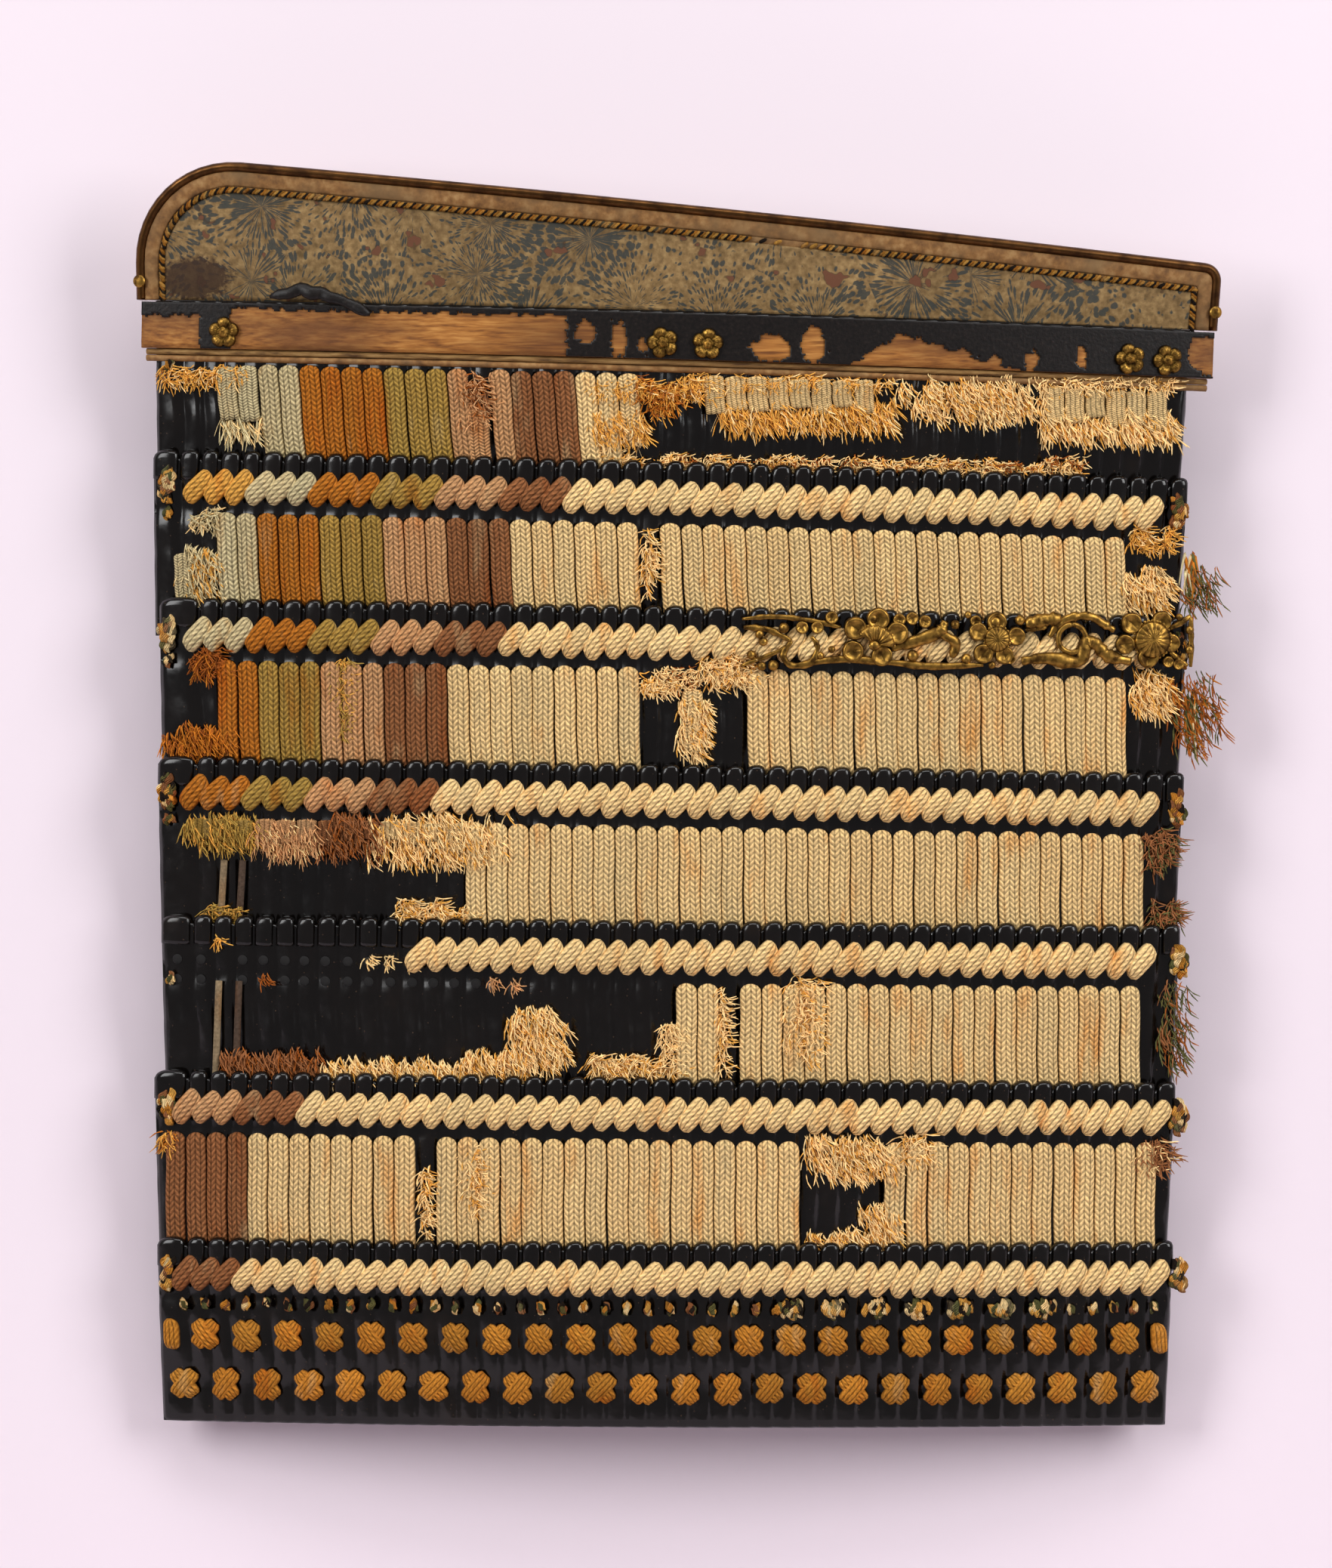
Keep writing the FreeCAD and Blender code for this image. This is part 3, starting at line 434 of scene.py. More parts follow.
# Silk cord: flat plaited braid with columns of V stitches, or twisted strands where chevron is off; matt, with painted
# shade between the rows of stitches and in the grooves between ribs
def silkMaterial(name, chevron):
    tree, shader, coords = newMaterial(name, roughness=0.85, specular=0.12)
    tint = tintOf(tree)
    parts = addNode(tree, "ShaderNodeSeparateXYZ", {0: coords["UV"]}).outputs
    ribs = calc(tree, "MULTIPLY", parts[0], 4.0)
    part = calc(tree, "FRACT", ribs)
    slant = part
    if chevron:
        slant = calc(tree, "PINGPONG", ribs, 1.0)
    rowLong = 1.5 if chevron else 2.6  # millimetres of cord to a row of stitches
    rows = calc(tree, "MULTIPLY_ADD", parts[1], 1 / rowLong, slant)
    turns = calc(tree, "MULTIPLY", rows, 2 * math.pi)
    stitch = calc(tree, "SINE", turns)
    stitch = calc(tree, "MULTIPLY_ADD", stitch, 0.5, 0.5)
    part = calc(tree, "SUBTRACT", part, 0.5)
    part = calc(tree, "ABSOLUTE", part)
    # Painted shade: darker at the rib edges, in the grooves between ribs
    groove = ramp(tree, part, [(0.28, 1.0), (0.5, 0.38 if chevron else 0.25)])
    yarn = noiseOn(tree, coords, 0.9, 4)
    stain = noiseOn(tree, coords, 7, 4, (1, 1, 0.22))
    # Painted shade between the rows of stitches
    shade = ramp(tree, stitch, [(0.05, 0.55 if chevron else 0.8), (0.5, 1.0)])
    shade = times(tree, shade, groove)
    grain = ramp(tree, yarn, [(0.3, 0.66), (0.7, 1.28)])
    shade = times(tree, shade, grain)
    colour = times(tree, tint, shade)
    spot = ramp(tree, stain, [(0.56, 0.0), (0.74, 0.7)])
    stained = times(tree, colour, linear("#f2b765"))
    faded = ramp(tree, stain, [(0.28, 0.3), (0.42, 0.0)])
    colour = mixColour(tree, faded, colour, times(tree, shade, linear("#d2bc8c")))
    paint(tree, shader, mixColour(tree, spot, colour, stained))
    relief = calc(tree, "ADD", stitch, yarn)
    bump(tree, shader, relief, 0.00045, 0.8)


silkMaterial("silkBraid", True)
silkMaterial("silkTwist", False)

# Frayed silk: loose yarn ends, soft, their tint varied by a fine noise
tree, shader, coords = newMaterial("frayedSilk", roughness=0.9, specular=0.12)
tint = tintOf(tree)
yarn = noiseOn(tree, coords, 1.6, 3)
paint(tree, shader, times(tree, tint, ramp(tree, yarn, [(0.3, 0.9), (0.7, 1.35)])))

# Printed deer leather: smoked tan with indigo dashes that fan out from many centres, rubbed through in spots
leatherPrint = {"fan": 34.0, "dashLong": 4.4, "dashTurn": 7.0, "wornPatch": (-0.1519, -0.0046)}
tree, shader, coords = newMaterial("printedDeerLeather", roughness=0.72, ior=1.48, specular=0.25)
wander = noiseOn(tree, coords, 14, 2)
flat = addNode(tree, "ShaderNodeMapping", {"Vector": coords["Object"], "Scale": (1, 0.0001, 1)}).outputs[0]
fans = addNode(tree, "ShaderNodeTexVoronoi", {
    "Vector": flat, "Scale": perMetre / leatherPrint["fan"], "Randomness": 0.9,
})
away = addNode(tree, "ShaderNodeVectorMath", {0: flat, 1: fans.outputs["Position"]}, operation="SUBTRACT").outputs[0]
reach = addNode(tree, "ShaderNodeVectorMath", {0: away}, operation="LENGTH").outputs["Value"]
parts = addNode(tree, "ShaderNodeSeparateXYZ", {0: away}).outputs
angle = calc(tree, "ARCTAN2", parts[2], parts[0])
around = calc(tree, "MULTIPLY", angle, leatherPrint["dashTurn"])
outward = calc(tree, "MULTIPLY", reach, perMetre / leatherPrint["dashLong"])
bent = calc(tree, "MULTIPLY_ADD", wander, 2.0, around)
polar = addNode(tree, "ShaderNodeCombineXYZ", {0: bent, 1: outward}).outputs[0]
dashes = addNode(tree, "ShaderNodeTexVoronoi", {"Vector": polar, "Scale": 1.7, "Randomness": 0.8})
grainy = noiseOn(tree, coords, 1.2, 4)
fading = noiseOn(tree, coords, 30, 3)
blot = calc(tree, "MULTIPLY_ADD", grainy, 0.4, -0.2)
fade = calc(tree, "MULTIPLY_ADD", fading, 1.1, -0.6)
edge = calc(tree, "ADD", dashes.outputs["Distance"], blot)
edge = calc(tree, "ADD", edge, fade)
inked = ramp(tree, edge, [(0.36, 0.88), (0.47, 0.0)])
skin = ramp(tree, noiseOn(tree, coords, 2.2, 5),
            [(0.3, "#6a5433"), (0.5, "#8c7048"), (0.7, "#a88b5c")])
broad = ramp(tree, noiseOn(tree, coords, 40, 3), [(0.35, 0.7), (0.65, 1.0)])
skin = times(tree, skin, broad)
colour = mixColour(tree, inked, skin, linear("#343b3a"))
holes = noiseOn(tree, coords, 8, 2)
rubbed = ramp(tree, holes, [(0.665, 0.0), (0.675, 1.0)])
ring = ramp(tree, holes, [(0.645, 0.0), (0.665, 0.7)])
colour = mixColour(tree, ring, colour, linear("#3d2c1c"))
colour = mixColour(tree, rubbed, colour, linear("#6a4430"))
place = addNode(tree, "ShaderNodeMapping", {
    "Vector": coords["Object"], "Location": (-leatherPrint["wornPatch"][0], 0, -leatherPrint["wornPatch"][1]),
}).outputs[0]
place = addNode(tree, "ShaderNodeVectorMath", {0: place, 1: (1.0, 0.0, 1.7)}, operation="MULTIPLY").outputs[0]
far = addNode(tree, "ShaderNodeVectorMath", {0: place}, operation="LENGTH").outputs["Value"]
ragged = calc(tree, "MULTIPLY_ADD", grainy, 0.012, far)
patch = ramp(tree, ragged, [(0.0165, 0.9), (0.0185, 0.0)])
colour = mixColour(tree, patch, colour, linear("#39271b"))
paint(tree, shader, colour)
bump(tree, shader, grainy, 0.0002, 0.5)

# Red brown grain leather of the border: dry, with scuffed spots
tree, shader, coords = newMaterial("borderLeather", roughness=0.66, ior=1.48, specular=0.25)
dry = noiseOn(tree, coords, 3, 6)
colour = ramp(tree, dry, [(0.25, "#553a22"), (0.5, "#8a6238"), (0.72, "#a98455")])
greyed = ramp(tree, noiseOn(tree, coords, 16, 3), [(0.45, 0.0), (0.7, 0.8)])
paint(tree, shader, mixColour(tree, greyed, colour, linear("#7a6040")))
bump(tree, shader, dry, 0.00025, 0.5)

# Plain hide: lining and upper moulding, tan with streaks along it
tree, shader, coords = newMaterial("plainHide", roughness=0.7, ior=1.48, specular=0.25)
streaks = noiseOn(tree, coords, 1.4, 4, (0.12, 1, 1))
paint(tree, shader, ramp(tree, streaks, [(0.3, "#4f3620"), (0.5, "#8a683c"), (0.72, "#b08c58")]))
bump(tree, shader, streaks, 0.0002, 0.5)

# Black lacquered leather skin of the facing board: dull, fine grained, greyed with dust
tree, shader, coords = newMaterial("lacqueredSkin", roughness=0.42, specular=0.25)
pits = noiseOn(tree, coords, 1.1, 5)
paint(tree, shader, ramp(tree, pits, [(0.35, "#0d0a09"), (0.6, "#181311"), (0.8, "#2a231e")]))
bump(tree, shader, pits, 0.0002, 0.6)

# Bare paulownia or bamboo of the facing board: orange tan with long dark scratches along the grain
tree, shader, coords = newMaterial("bareWood", roughness=0.58, specular=0.25)
grain = noiseOn(tree, coords, 0.9, 5, (0.03, 1, 1))
smoke = noiseOn(tree, coords, 30, 4, (0.5, 1, 2))
colour = ramp(tree, grain, [(0.3, "#6e4220"), (0.5, "#a66c32"), (0.7, "#c38b4a")])
colour = mixColour(tree, ramp(tree, smoke, [(0.4, 0.0), (0.66, 0.8)]), colour, linear("#5f3a20"))
paint(tree, shader, colour)
bump(tree, shader, grain, 0.0001, 0.5)

# Aged gilt copper: brass brown in the hollows, warm gold where hands have rubbed it
tree, shader, coords = newMaterial("agedGilt", roughness=0.38, metallic=1.0)
tint = tintOf(tree)
patina = noiseOn(tree, coords, 2.5, 5)
colour = mixColour(tree, ramp(tree, patina, [(0.35, 0.0), (0.65, 1.0)]), linear("#4a3317"), linear("#b3893f"))
paint(tree, shader, times(tree, colour, tint))
tree.links.new(ramp(tree, patina, [(0.3, 0.55), (0.7, 0.3)]), shader.inputs["Roughness"])
bump(tree, shader, patina, 0.0001, 0.4)

# Copper tube of the rim: dark brown patina in two tones, varied by noise
tree, shader, coords = newMaterial("patinatedRim", roughness=0.36, metallic=1.0)
tint = tintOf(tree)
patina = noiseOn(tree, coords, 6, 5)
colour = mixColour(tree, ramp(tree, patina, [(0.35, 0.0), (0.7, 1.0)]), linear("#3c2717"), linear("#6f4c29"))
paint(tree, shader, times(tree, colour, tint))
tree.links.new(ramp(tree, patina, [(0.3, 0.5), (0.7, 0.28)]), shader.inputs["Roughness"])

# Iron plate under its lining: brown black lacquer, dull
tree, shader, coords = newMaterial("lacqueredIron", roughness=0.45)
paint(tree, shader, ramp(tree, noiseOn(tree, coords, 8, 4), [(0.35, "#15100e"), (0.7, "#2e221b")]))

# Hole through the boards: no light comes back
tree, shader, coords = newMaterial("darkHole", roughness=0.9)
paint(tree, shader, ramp(tree, noiseOn(tree, coords, 2), [(0.3, "#050404"), (0.8, "#0d0a08")]))

newMaterial("plain", roughness=0.6)
print("materials made")

# Colours of the silk: three cords to a group at the left, cream for the rest
silk = {
    "golden": "#e2a44a",
    "paleGreen": "#d2bf90",
    "orange": "#ba6f22",
    "olive": "#ad8940",
    "pinkTan": "#d09a68",
    "brown": "#96603a",
    "cream": "#fbd493",
    "amber": "#c27f2c",
    "rust": "#9a5420",
    "moss": "#5f5c34",
    "dark": "#241a12",
}
groups = ["golden", "paleGreen", "orange", "olive", "pinkTan", "brown", "cream"]
groupWidth = 85.4  # pixels of the photograph
rng = random.Random(17)


def silkTint(name, spread=0.07):
    base = linear(silk[name])
    bright = 1 + rng.uniform(-spread, spread)
    warm = 1 + rng.uniform(-spread, spread) * 0.4
    return (base[0] * bright * warm, base[1] * bright, base[2] * bright / warm, 1.0)


# Colour group at a pixel, where the cream begins at the given pixel
def groupAt(px, creamFrom, first=0):
    steps = math.ceil((creamFrom - px) / groupWidth)
    if steps <= 0:
        return "cream"
    return groups[max(first, 6 - steps)]


# Repeated items, drawn about their own middle: X along the board, -Y out of it, Z up, in millimetres
def rowOf(x, out, z, back):
    return np.stack([x, -out, z], -1), np.stack([x, np.full(len(x), back), z], -1)


# UV of a row of cord: across it and how far along it
def rowUv(u, along):
    return np.stack([(u + 1) / 2, np.broadcast_to(along, u.shape)], -1)


head = {
    "half": 3.16, "peak": 0.2, "leftDrop": 3.2, "rightDrop": 1.9, "tall": 9.5, "seat": 1.35, "dome": 1.75, "tip": 0.2,
    "back": 2.2,
}


def headItem():
    u = np.linspace(-1, 1, 15)
    peak = head["peak"]
    spread = np.where(u < peak, (peak - u) / (1 + peak), (u - peak) / (1 - peak))
    drop = np.where(u < peak, head["leftDrop"], head["rightDrop"]) * (1 - rounded(np.minimum(spread, 0.999), 2.3))
    side = rounded(u, 2.8)

    def row(v):
        z = -drop * (1 - v) - head["tall"] * v ** 1.4
        rounding = rounded(1 - np.clip(-(z + drop) / 2.0, 0, 1), 2)
        dome = -head["seat"] + head["dome"] * rounding * side + head["tip"] * u * side
        return rowOf(u * head["half"], dome, z, head["back"])

    return slabItem("scaleHead", np.linspace(0, 1, 11), row)


# Ribs side by side across the width of a cord
def ribbed(u, ribs, depth):
    return depth * np.abs(np.sin(ribs * math.pi * (u + 1) / 2)) ** 0.7


# A cord of close lacing, one metre long: it is stretched to its length
cord = {
    "half": 3.36, "backHalf": 3.3, "rise": 1.25, "ribs": 4, "ribDeep": 0.36, "sway": 0.16, "back": 0.25,
    "uvLong": 29,
}


def cordItem():
    u = np.linspace(-1, 1, 25)
    edge = rounded(u, 3.4)

    def row(v):
        z = -0.085 * (1 - rounded(u, 2.2)) * (1 - v) - v
        rise = rounded(1 - min(v / 0.07, 1), 2)
        ribs = ribbed(u, cord["ribs"], cord["ribDeep"]) * edge * min(1, v / 0.05)
        proud = (0.1 + cord["rise"] * rise) * edge + ribs
        sway = cord["sway"] * math.sin(v * 8.0) * min(1.0, v * 5)
        front = np.stack([(u * cord["half"] + sway) * mm, -proud * mm, z], -1)
        back = np.stack([(u * cord["backHalf"] + sway) * mm, np.full(len(u), cord["back"] * mm), z], -1)
        return front, back, rowUv(u, z * cord["uvLong"])

    return slabItem("silkCord", np.concatenate([np.linspace(0, 0.09, 6), np.linspace(0.12, 1, 9)]), row, 1.0)


# One turn of the rope lacing: a slanted, ribbed lobe
def lobeItem(name, long, wide, proud, angle, ribs, deep):
    u = np.linspace(-1, 1, 17)
    edge = rounded(u, 2.6)
    tilt = math.radians(angle)

    def row(v):
        swell = rounded(v, 3.6)
        lengthways = long * v
        across = u * wide * (0.25 + 0.75 * swell) + 0.9 * v ** 3
        out = (0.1 + (proud - deep) * swell) * edge + ribbed(u, ribs, deep) * edge * swell - 0.35 * v * swell
        x = lengthways * math.cos(tilt) - across * math.sin(tilt)
        z = lengthways * math.sin(tilt) + across * math.cos(tilt)
        return *rowOf(x, out, z, 0.3), rowUv(u, lengthways)

    return slabItem(name, np.linspace(-1, 1, 13), row)


# A cross knot: a bundle of cords crosses over another, both sinking into their holes
knot = {"half": 5.2, "broad": 2.75, "across": 0.62, "up": 0.78, "proud": 1.2, "ribs": 4, "ribDeep": 0.38}


def knotItem(rising, name):
    half, across, up = knot["half"], knot["across"], knot["up"]
    shell = newShell()
    u = np.linspace(-1, 1, 17)
    edge = rounded(u, 3)
    for layer, way in enumerate((-rising, rising)):
        def row(t):
            end = rounded(t, 4)
            wide = knot["broad"] * (0.66 + 0.34 * end)
            over = 1.0 if layer else 0.1 + 0.4 * abs(t)
            ribs = ribbed(u, knot["ribs"], knot["ribDeep"]) * edge * end
            out = (0.05 + (knot["proud"] + over * (1 - t * t)) * end) * edge + ribs
            x = way * half * across * t + u * wide * up
            z = half * up * t - way * u * wide * across
            return *rowOf(x, out, z, 0.3), rowUv(u, t * half)

        addRows(shell, np.linspace(-1, 1, 13), row, mm)
    return item(name, shell)


# A lock of yarn one millimetre long, curved and tapered; it is stretched to its length
def strandItem(name, radius, bow, sides=4, steps=5):
    shell = newShell()
    t = np.linspace(0, 1, steps)
    path = np.stack([bow * t * t, 0.3 * bow * np.sin(t * 4), -t], -1) * mm
    radii = radius * mm * (1 - 0.75 * t)
    addTube(shell, path, radii, sides)
    return item(name, shell)


# A round item of radius one millimetre, drawn in rings: the rule gives points and brightness of a ring
def ringItem(name, rings, turns, rule):
    a = np.linspace(0, 2 * math.pi, turns, endpoint=False)
    made = [rule(radius, a) for radius in np.linspace(0, 1, rings)]
    points = np.array([np.stack([x, -out, z], -1) for x, out, z, level in made])
    tint = np.array([np.stack([level, level, level, np.ones(turns)], -1) for x, out, z, level in made])
    shell = newShell()
    addPart(shell, points * mm, gridFaces(rings, turns, wrap=True) + [
        [(rings - 1) * turns + n for n in range(turns)]], tint)
    return item(name, shell, ownTint=True)


# Five petalled plum flower with a ring of stamens
flower = {"petals": 5, "inner": 0.34, "relief": 0.34}


def flowerRing(radius, a):
    petals, inner, relief = flower["petals"], flower["inner"], flower["relief"]
    lobe = np.abs(np.sin(a * petals / 2 + math.pi / 2))
    reach = radius * (0.74 + 0.26 * lobe ** 0.55)
    petal = stamen = 0 * a
    middle = veins = 0
    if radius > inner:
        petal = lobe ** 0.6 * np.sin(math.pi * np.clip((radius - inner) / (1 - inner), 0, 1))
        veins = 0.06 * np.abs(np.sin(a * petals * 3))
    else:
        middle = 0.9 * rounded(radius / inner, 2)
    if 0.15 < radius / inner < 0.95:
        stamen = 0.12 * np.abs(np.sin(a * 13))
    out = relief * (0.45 + 0.55 * petal) - veins * 0.5 + middle * relief * 0.8 + stamen * relief
    if radius > 0.97:
        out = out * 0.25
    level = np.clip(0.3 + 1.5 * (out / relief - 0.45), 0.25, 1.1)
    return reach * np.sin(a), out, reach * np.cos(a), level


headShape = headItem()
cordShape = cordItem()
lobeShape = lobeItem("ropeLobe", 6.2, 3.3, 2.9, 45, 4, 0.42)
dotShape = lobeItem("miniLobe", 1.9, 1.2, 1.1, 75, 2, 0.2)
risingKnot = knotItem(1, "risingKnot")
fallingKnot = knotItem(-1, "fallingKnot")
yarnShape = strandItem("yarnEnd", 0.34, 0.3)
fibreShape = strandItem("looseFibre", 0.11, 0.5, 3, 6)
fluffShape = strandItem("fluff", 0.24, 1.5, 3, 3)
flowerShape = ringItem("plumFlower", 15, 100, flowerRing)
print("repeated items drawn")


# Where a repeated item goes on a board: its point, turn, stretch and tint
def spot(k, s, z, d, turn, stretch, tint):
    return onBoard(k, s, z, d), boardTurn(k, s, *turn), stretch, tint


# Scale boards: a lacquered sheet that still shows its scales as soft ripples, with separate heads on top
boardSheet = {"perScale": 8, "step": 1.05, "lean": 0.13, "swell": 0.28, "roughness": 0.14, "bulge": 0.45}


def ripple(u):
    u = u % 1.0
    rise = np.sin(np.clip(u / 0.74, 0, 1) * math.pi / 2)
    fall = np.cos(np.clip((u - 0.74) / 0.26, 0, 1) * math.pi / 2)
    return rise * fall


def hump(distance, width):
    return math.exp(-(distance / width) ** 2)


def makeBoard(k):
    edges = scaleEdges(k)
    s = np.concatenate([np.linspace(a, b, boardSheet["perScale"], endpoint=False) for a, b in zip(edges, edges[1:])])
    s = np.append(s, edges[-1])
    low = -boards["height"]
    top = 0.0 if k == 1 else -2.6
    place = np.interp(s, edges, np.arange(len(edges)))
    ends = np.minimum(s - edges[0], edges[-1] - s)
    ends = 0.9 * (1 - rounded(1 - np.clip(ends / 1.3, 0, 1), 2))
    step = boardSheet["step"]

    def row(z):
        shrink = 1 - boards["taper"] * (-z / boards["height"]) / edges[-1]
        below = max(0.0, -z - 20)
        sway = boardSheet["lean"] * math.sin(below / 4.2) * math.exp(-below / 16)
        waves = ripple(place + sway)
        swell = boardSheet["swell"] * hump(z + 25, 5.0) - 0.35 * hump(z + 18.5, 3.0)
        bulge = boardSheet["bulge"] * hump(z + 37, 5.5) - 0.25 * hump(z + 48, 4.0)
        d = -step - 0.5 + step * waves + swell * 0.7 + bulge * waves
        d = d + np.array([boardSheet["roughness"] * noise.noise(Vector((a / 9, z / 11, k * 7.3))) for a in s])
        d = d - ends - max(0.0, low + 1.3 - z) * 0.6
        return onBoard(k, s * shrink, z, np.minimum(d, 0.0)), onBoard(k, s * shrink, z, -boards["thick"] + 0.05)

    shell = newShell()
    heights = [np.linspace(top, -26, 18), np.linspace(-27.5, low + 1.2, 22), [low + 0.5, low]]
    addRows(shell, np.concatenate(heights), row)
    return build(f"scaleBoard{k}", shell, "urushiLacquer", bodyOf(k), [f"lame_{k}"])


def makeHeads(k):
    edges = scaleEdges(k)
    places = []
    for n, (a, b) in enumerate(zip(edges, edges[1:])):
        wide = (b - a) / pitch
        tall = 1.0
        if k in (2, 3) and n:
            wide *= 1.07 if n % 2 else 0.93
            tall = 1.03 if n % 2 else 0.96
        places.append(spot(k, (a + b) / 2, rng.uniform(-0.2, 0.12), -0.12, (), (wide, 1.0, tall), white))
    return repeated(f"scaleHeads{k}", headShape, places, "urushiLacquer", f"board_{k}",
                    [], seed=k, sizeJitter=0.02, turnJitter=0.012)


for k in range(1, 8):
    makeBoard(k)
    if k > 1:
        makeHeads(k)
print("scale boards made")

# Rope lacing: where each begins, the pixel at which the cream starts, and its height on the board
ropes = {"middle": -11.6, "starts": {2: 238, 3: 238, 4: 238, 5: 552, 6: 238, 7: 238}, "end": 1542}


def makeRope(k):
    edges = scaleEdges(k)
    cream = 747 - 86.5 * (k - 2)
    places = []
    for s in [edges[1] - pitch * 0.9] + edges[1:-1]:
        px = pixelOf(s)
        if px < ropes["starts"][k] or px > ropes["end"]:
            continue
        stretch = (1.0, rng.uniform(0.92, 1.08), rng.uniform(0.96, 1.04))
        places.append(spot(k, s, ropes["middle"] + rng.uniform(-0.15, 0.15), 0.0, (rng.uniform(-0.05, 0.05),), stretch,
                           silkTint(groupAt(px, cream))))
    return repeated(f"ropeLacing{k}", lobeShape, places, "silkTwist", f"board_{k}",
                    [f"rope_{k}"], seed=40 + k, turnJitter=0.03)


for k in range(2, 8):
    makeRope(k)
print("rope lacings made")

# Close lacing: stretches left to right in pixels, with their ends in millimetres below the head line
full = None
lacing = {
    "top": 19.7,
    "tail": 4.5,
    "creamFrom": {1: 758, 2: 677, 3: 592, 4: 508, 5: 420, 6: 332},
    "lean": {1: 3.2, 2: 2.2, 3: 1.2, 4: 0.7, 5: 0.5, 6: 0.3},
    "stretches": {
        1: [(296, 350, 20.5, 38.0), (351, 614, 20.0, full), (614, 645, 32.0, full), (645, 822, 20.0, full),
            (822, 852, 20.0, 42.0), (952, 1178, 19.8, 29.5), (1380, 1552, 19.8, 30.0)],
        2: [(236, 262, 33.0, full), (291, 852, 19.7, full), (868, 1500, 19.7, full)],
        3: [(291, 846, 19.7, full), (905, 935, 26.0, 44.0), (1005, 1488, 19.7, full)],
        4: [(250, 618, 19.7, 27.0), (632, 1515, 19.7, full)],
        5: [(905, 948, 19.7, full), (968, 1528, 19.7, full)],
        6: [(230, 558, 19.7, full), (574, 1060, 19.7, full), (1186, 1532, 19.7, full)],
    },
}


def makeLacing(k):
    edges = scaleEdges(k)
    places = []
    ends = []
    drop = boards["drops"][k]
    for a, b in zip(edges, edges[1:]):
        middle = (a + b) / 2 if a != edges[0] else b - pitch / 2
        px = pixelOf(middle)
        for left, right, top, bottom in lacing["stretches"][k]:
            if not left <= px <= right:
                continue
            torn = bottom is not None
            low = bottom + rng.uniform(-2.0, 2.5) if torn else drop + lacing["tail"]
            long = low - top
            lean = lacing["lean"][k] / 29.0
            name = groupAt(px, lacing["creamFrom"][k], max(1, k - 1))
            point = onBoard(k, middle - lacing["lean"][k] / 2, -top + rng.uniform(-0.2, 0.25), 0.3)
            turn = boardTurn(k, middle, -lean + rng.uniform(-0.008, 0.008))
            tint = silkTint(name, 0.06)
            places.append((point, turn, (rng.uniform(0.97, 1.02), rng.uniform(0.9, 1.05), long * mm), tint))
            ends.append((middle, low, name, torn))
    made = repeated(f"closeLacing{k}", cordShape, places, "silkBraid", None,
                    [f"lacing_{k}"], seed=60 + k, turnJitter=0.006)
    start = onBoard(k, 0.0, -lacing["top"] - 1.0)
    end = onBoard(k, 0.0, -drop + 1.0)
    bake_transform(made)
    return ends


tornEnds = {k: makeLacing(k) for k in range(1, 7)}
print("close lacing made")

# Bottom board: two rows of cross knots, an upright stitch at each end and a line of ridge stitches of mixed cord
knots = {
    "pitch": 55.73, "upper": (268, 23, -31.2), "lower": (240, 24, -46.8), "end": (223, 1540), "upright": -0.84,
    "ridge": -21.1, "broad": (1035, 1392), "mixed": ["golden", "brown", "dark", "moss", "cream", "amber"],
    "dots": -20.2,
}


def makeKnots(row, shape):
    first, count, height = knots[row]
    places = []
    for n in range(count):
        s = placeAt(first + n * knots["pitch"])
        z = height + rng.uniform(-0.25, 0.25)
        stretch = (rng.uniform(0.94, 1.04), rng.uniform(0.9, 1.1), rng.uniform(0.94, 1.04))
        places.append(spot(7, s, z, 0.0, (rng.uniform(-0.06, 0.06),), stretch, silkTint("amber", 0.14)))
    return repeated(f"crossKnots{row.capitalize()}", shape, places, "silkTwist", "board_7",
                    [f"cross_knots_{row}"], seed=80, turnJitter=0.03)


# A bundle of short turns of mixed colours that fills an oval: half its width and height in millimetres
def bundle(k, s, z, wide, tall, names, count, size):
    made = []
    for n in range(count):
        a = rng.uniform(0, 2 * math.pi)
        reach = math.sqrt((n + 0.5) / count)
        x = wide * reach * math.cos(a)
        y = tall * reach * math.sin(a)
        point = onBoard(k, s + x, z + y, 0.2 + 1.2 * (1 - reach ** 2))
        turn = boardTurn(k, s, rng.uniform(-0.5, 0.9))
        made.append((point, turn, (size, size * 1.2, size), silkTint(rng.choice(names), 0.2)))
    return made


makeKnots("upper", fallingKnot)
makeKnots("lower", risingKnot)
places = []
for px in knots["end"]:
    places.append(spot(7, placeAt(px), knots["upper"][2], 0.0, (knots["upright"],), (0.82, 1.0, 0.8),
                       silkTint("amber")))
repeated("endStitches", lobeShape, places, "silkTwist", "board_7", ["end_stitches"], seed=82)

places = []
for s in scaleEdges(7)[1:-1]:
    if not knots["broad"][0] < pixelOf(s) < knots["broad"][1]:
        places += bundle(7, s, knots["ridge"], 0.8, 1.3, knots["mixed"], 5, 0.75)
for n in range(7):
    s = placeAt(knots["broad"][0] + 14 + n * knots["pitch"])
    places += bundle(7, s, knots["ridge"], 3.6, 2.0, ["dark", "golden", "cream", "moss"], 20, 0.95)
repeated("ridgeStitches", dotShape, places, "silkTwist", "board_7", ["ridge_stitches"],
         seed=83, sizeJitter=0.1)
for k in range(1, 6):
    places = bundle(k, placeAt(222), knots["dots"], 1.3, 1.3, knots["mixed"], 6, 0.7)
    repeated(f"endDots{k}", dotShape, places, "silkTwist", bodyOf(k), [], seed=84 + k)
print("knots made")


# Top plate: its outline in the plane of the first board, drawn in by an inset
plate = {
    "left": 171.3, "right": 176.4, "leftHigh": 46.3, "rightHigh": 21.2, "leftCorner": 32.0, "rightCorner": 6.0,
    "low": 0.3, "rim": 3.4, "rimDeep": 5.6, "borderIn": 7.8, "braidIn": 10.0, "leather": 0.9, "back": 2.7,
    "lean": math.tan(math.radians(8)), "sideSteps": 22, "topSteps": 150, "cornerSteps": 12,
}


def plateDepth(z):
    return -boards["thick"] - 0.1 + max(0.0, z - 1.0) * plate["lean"]


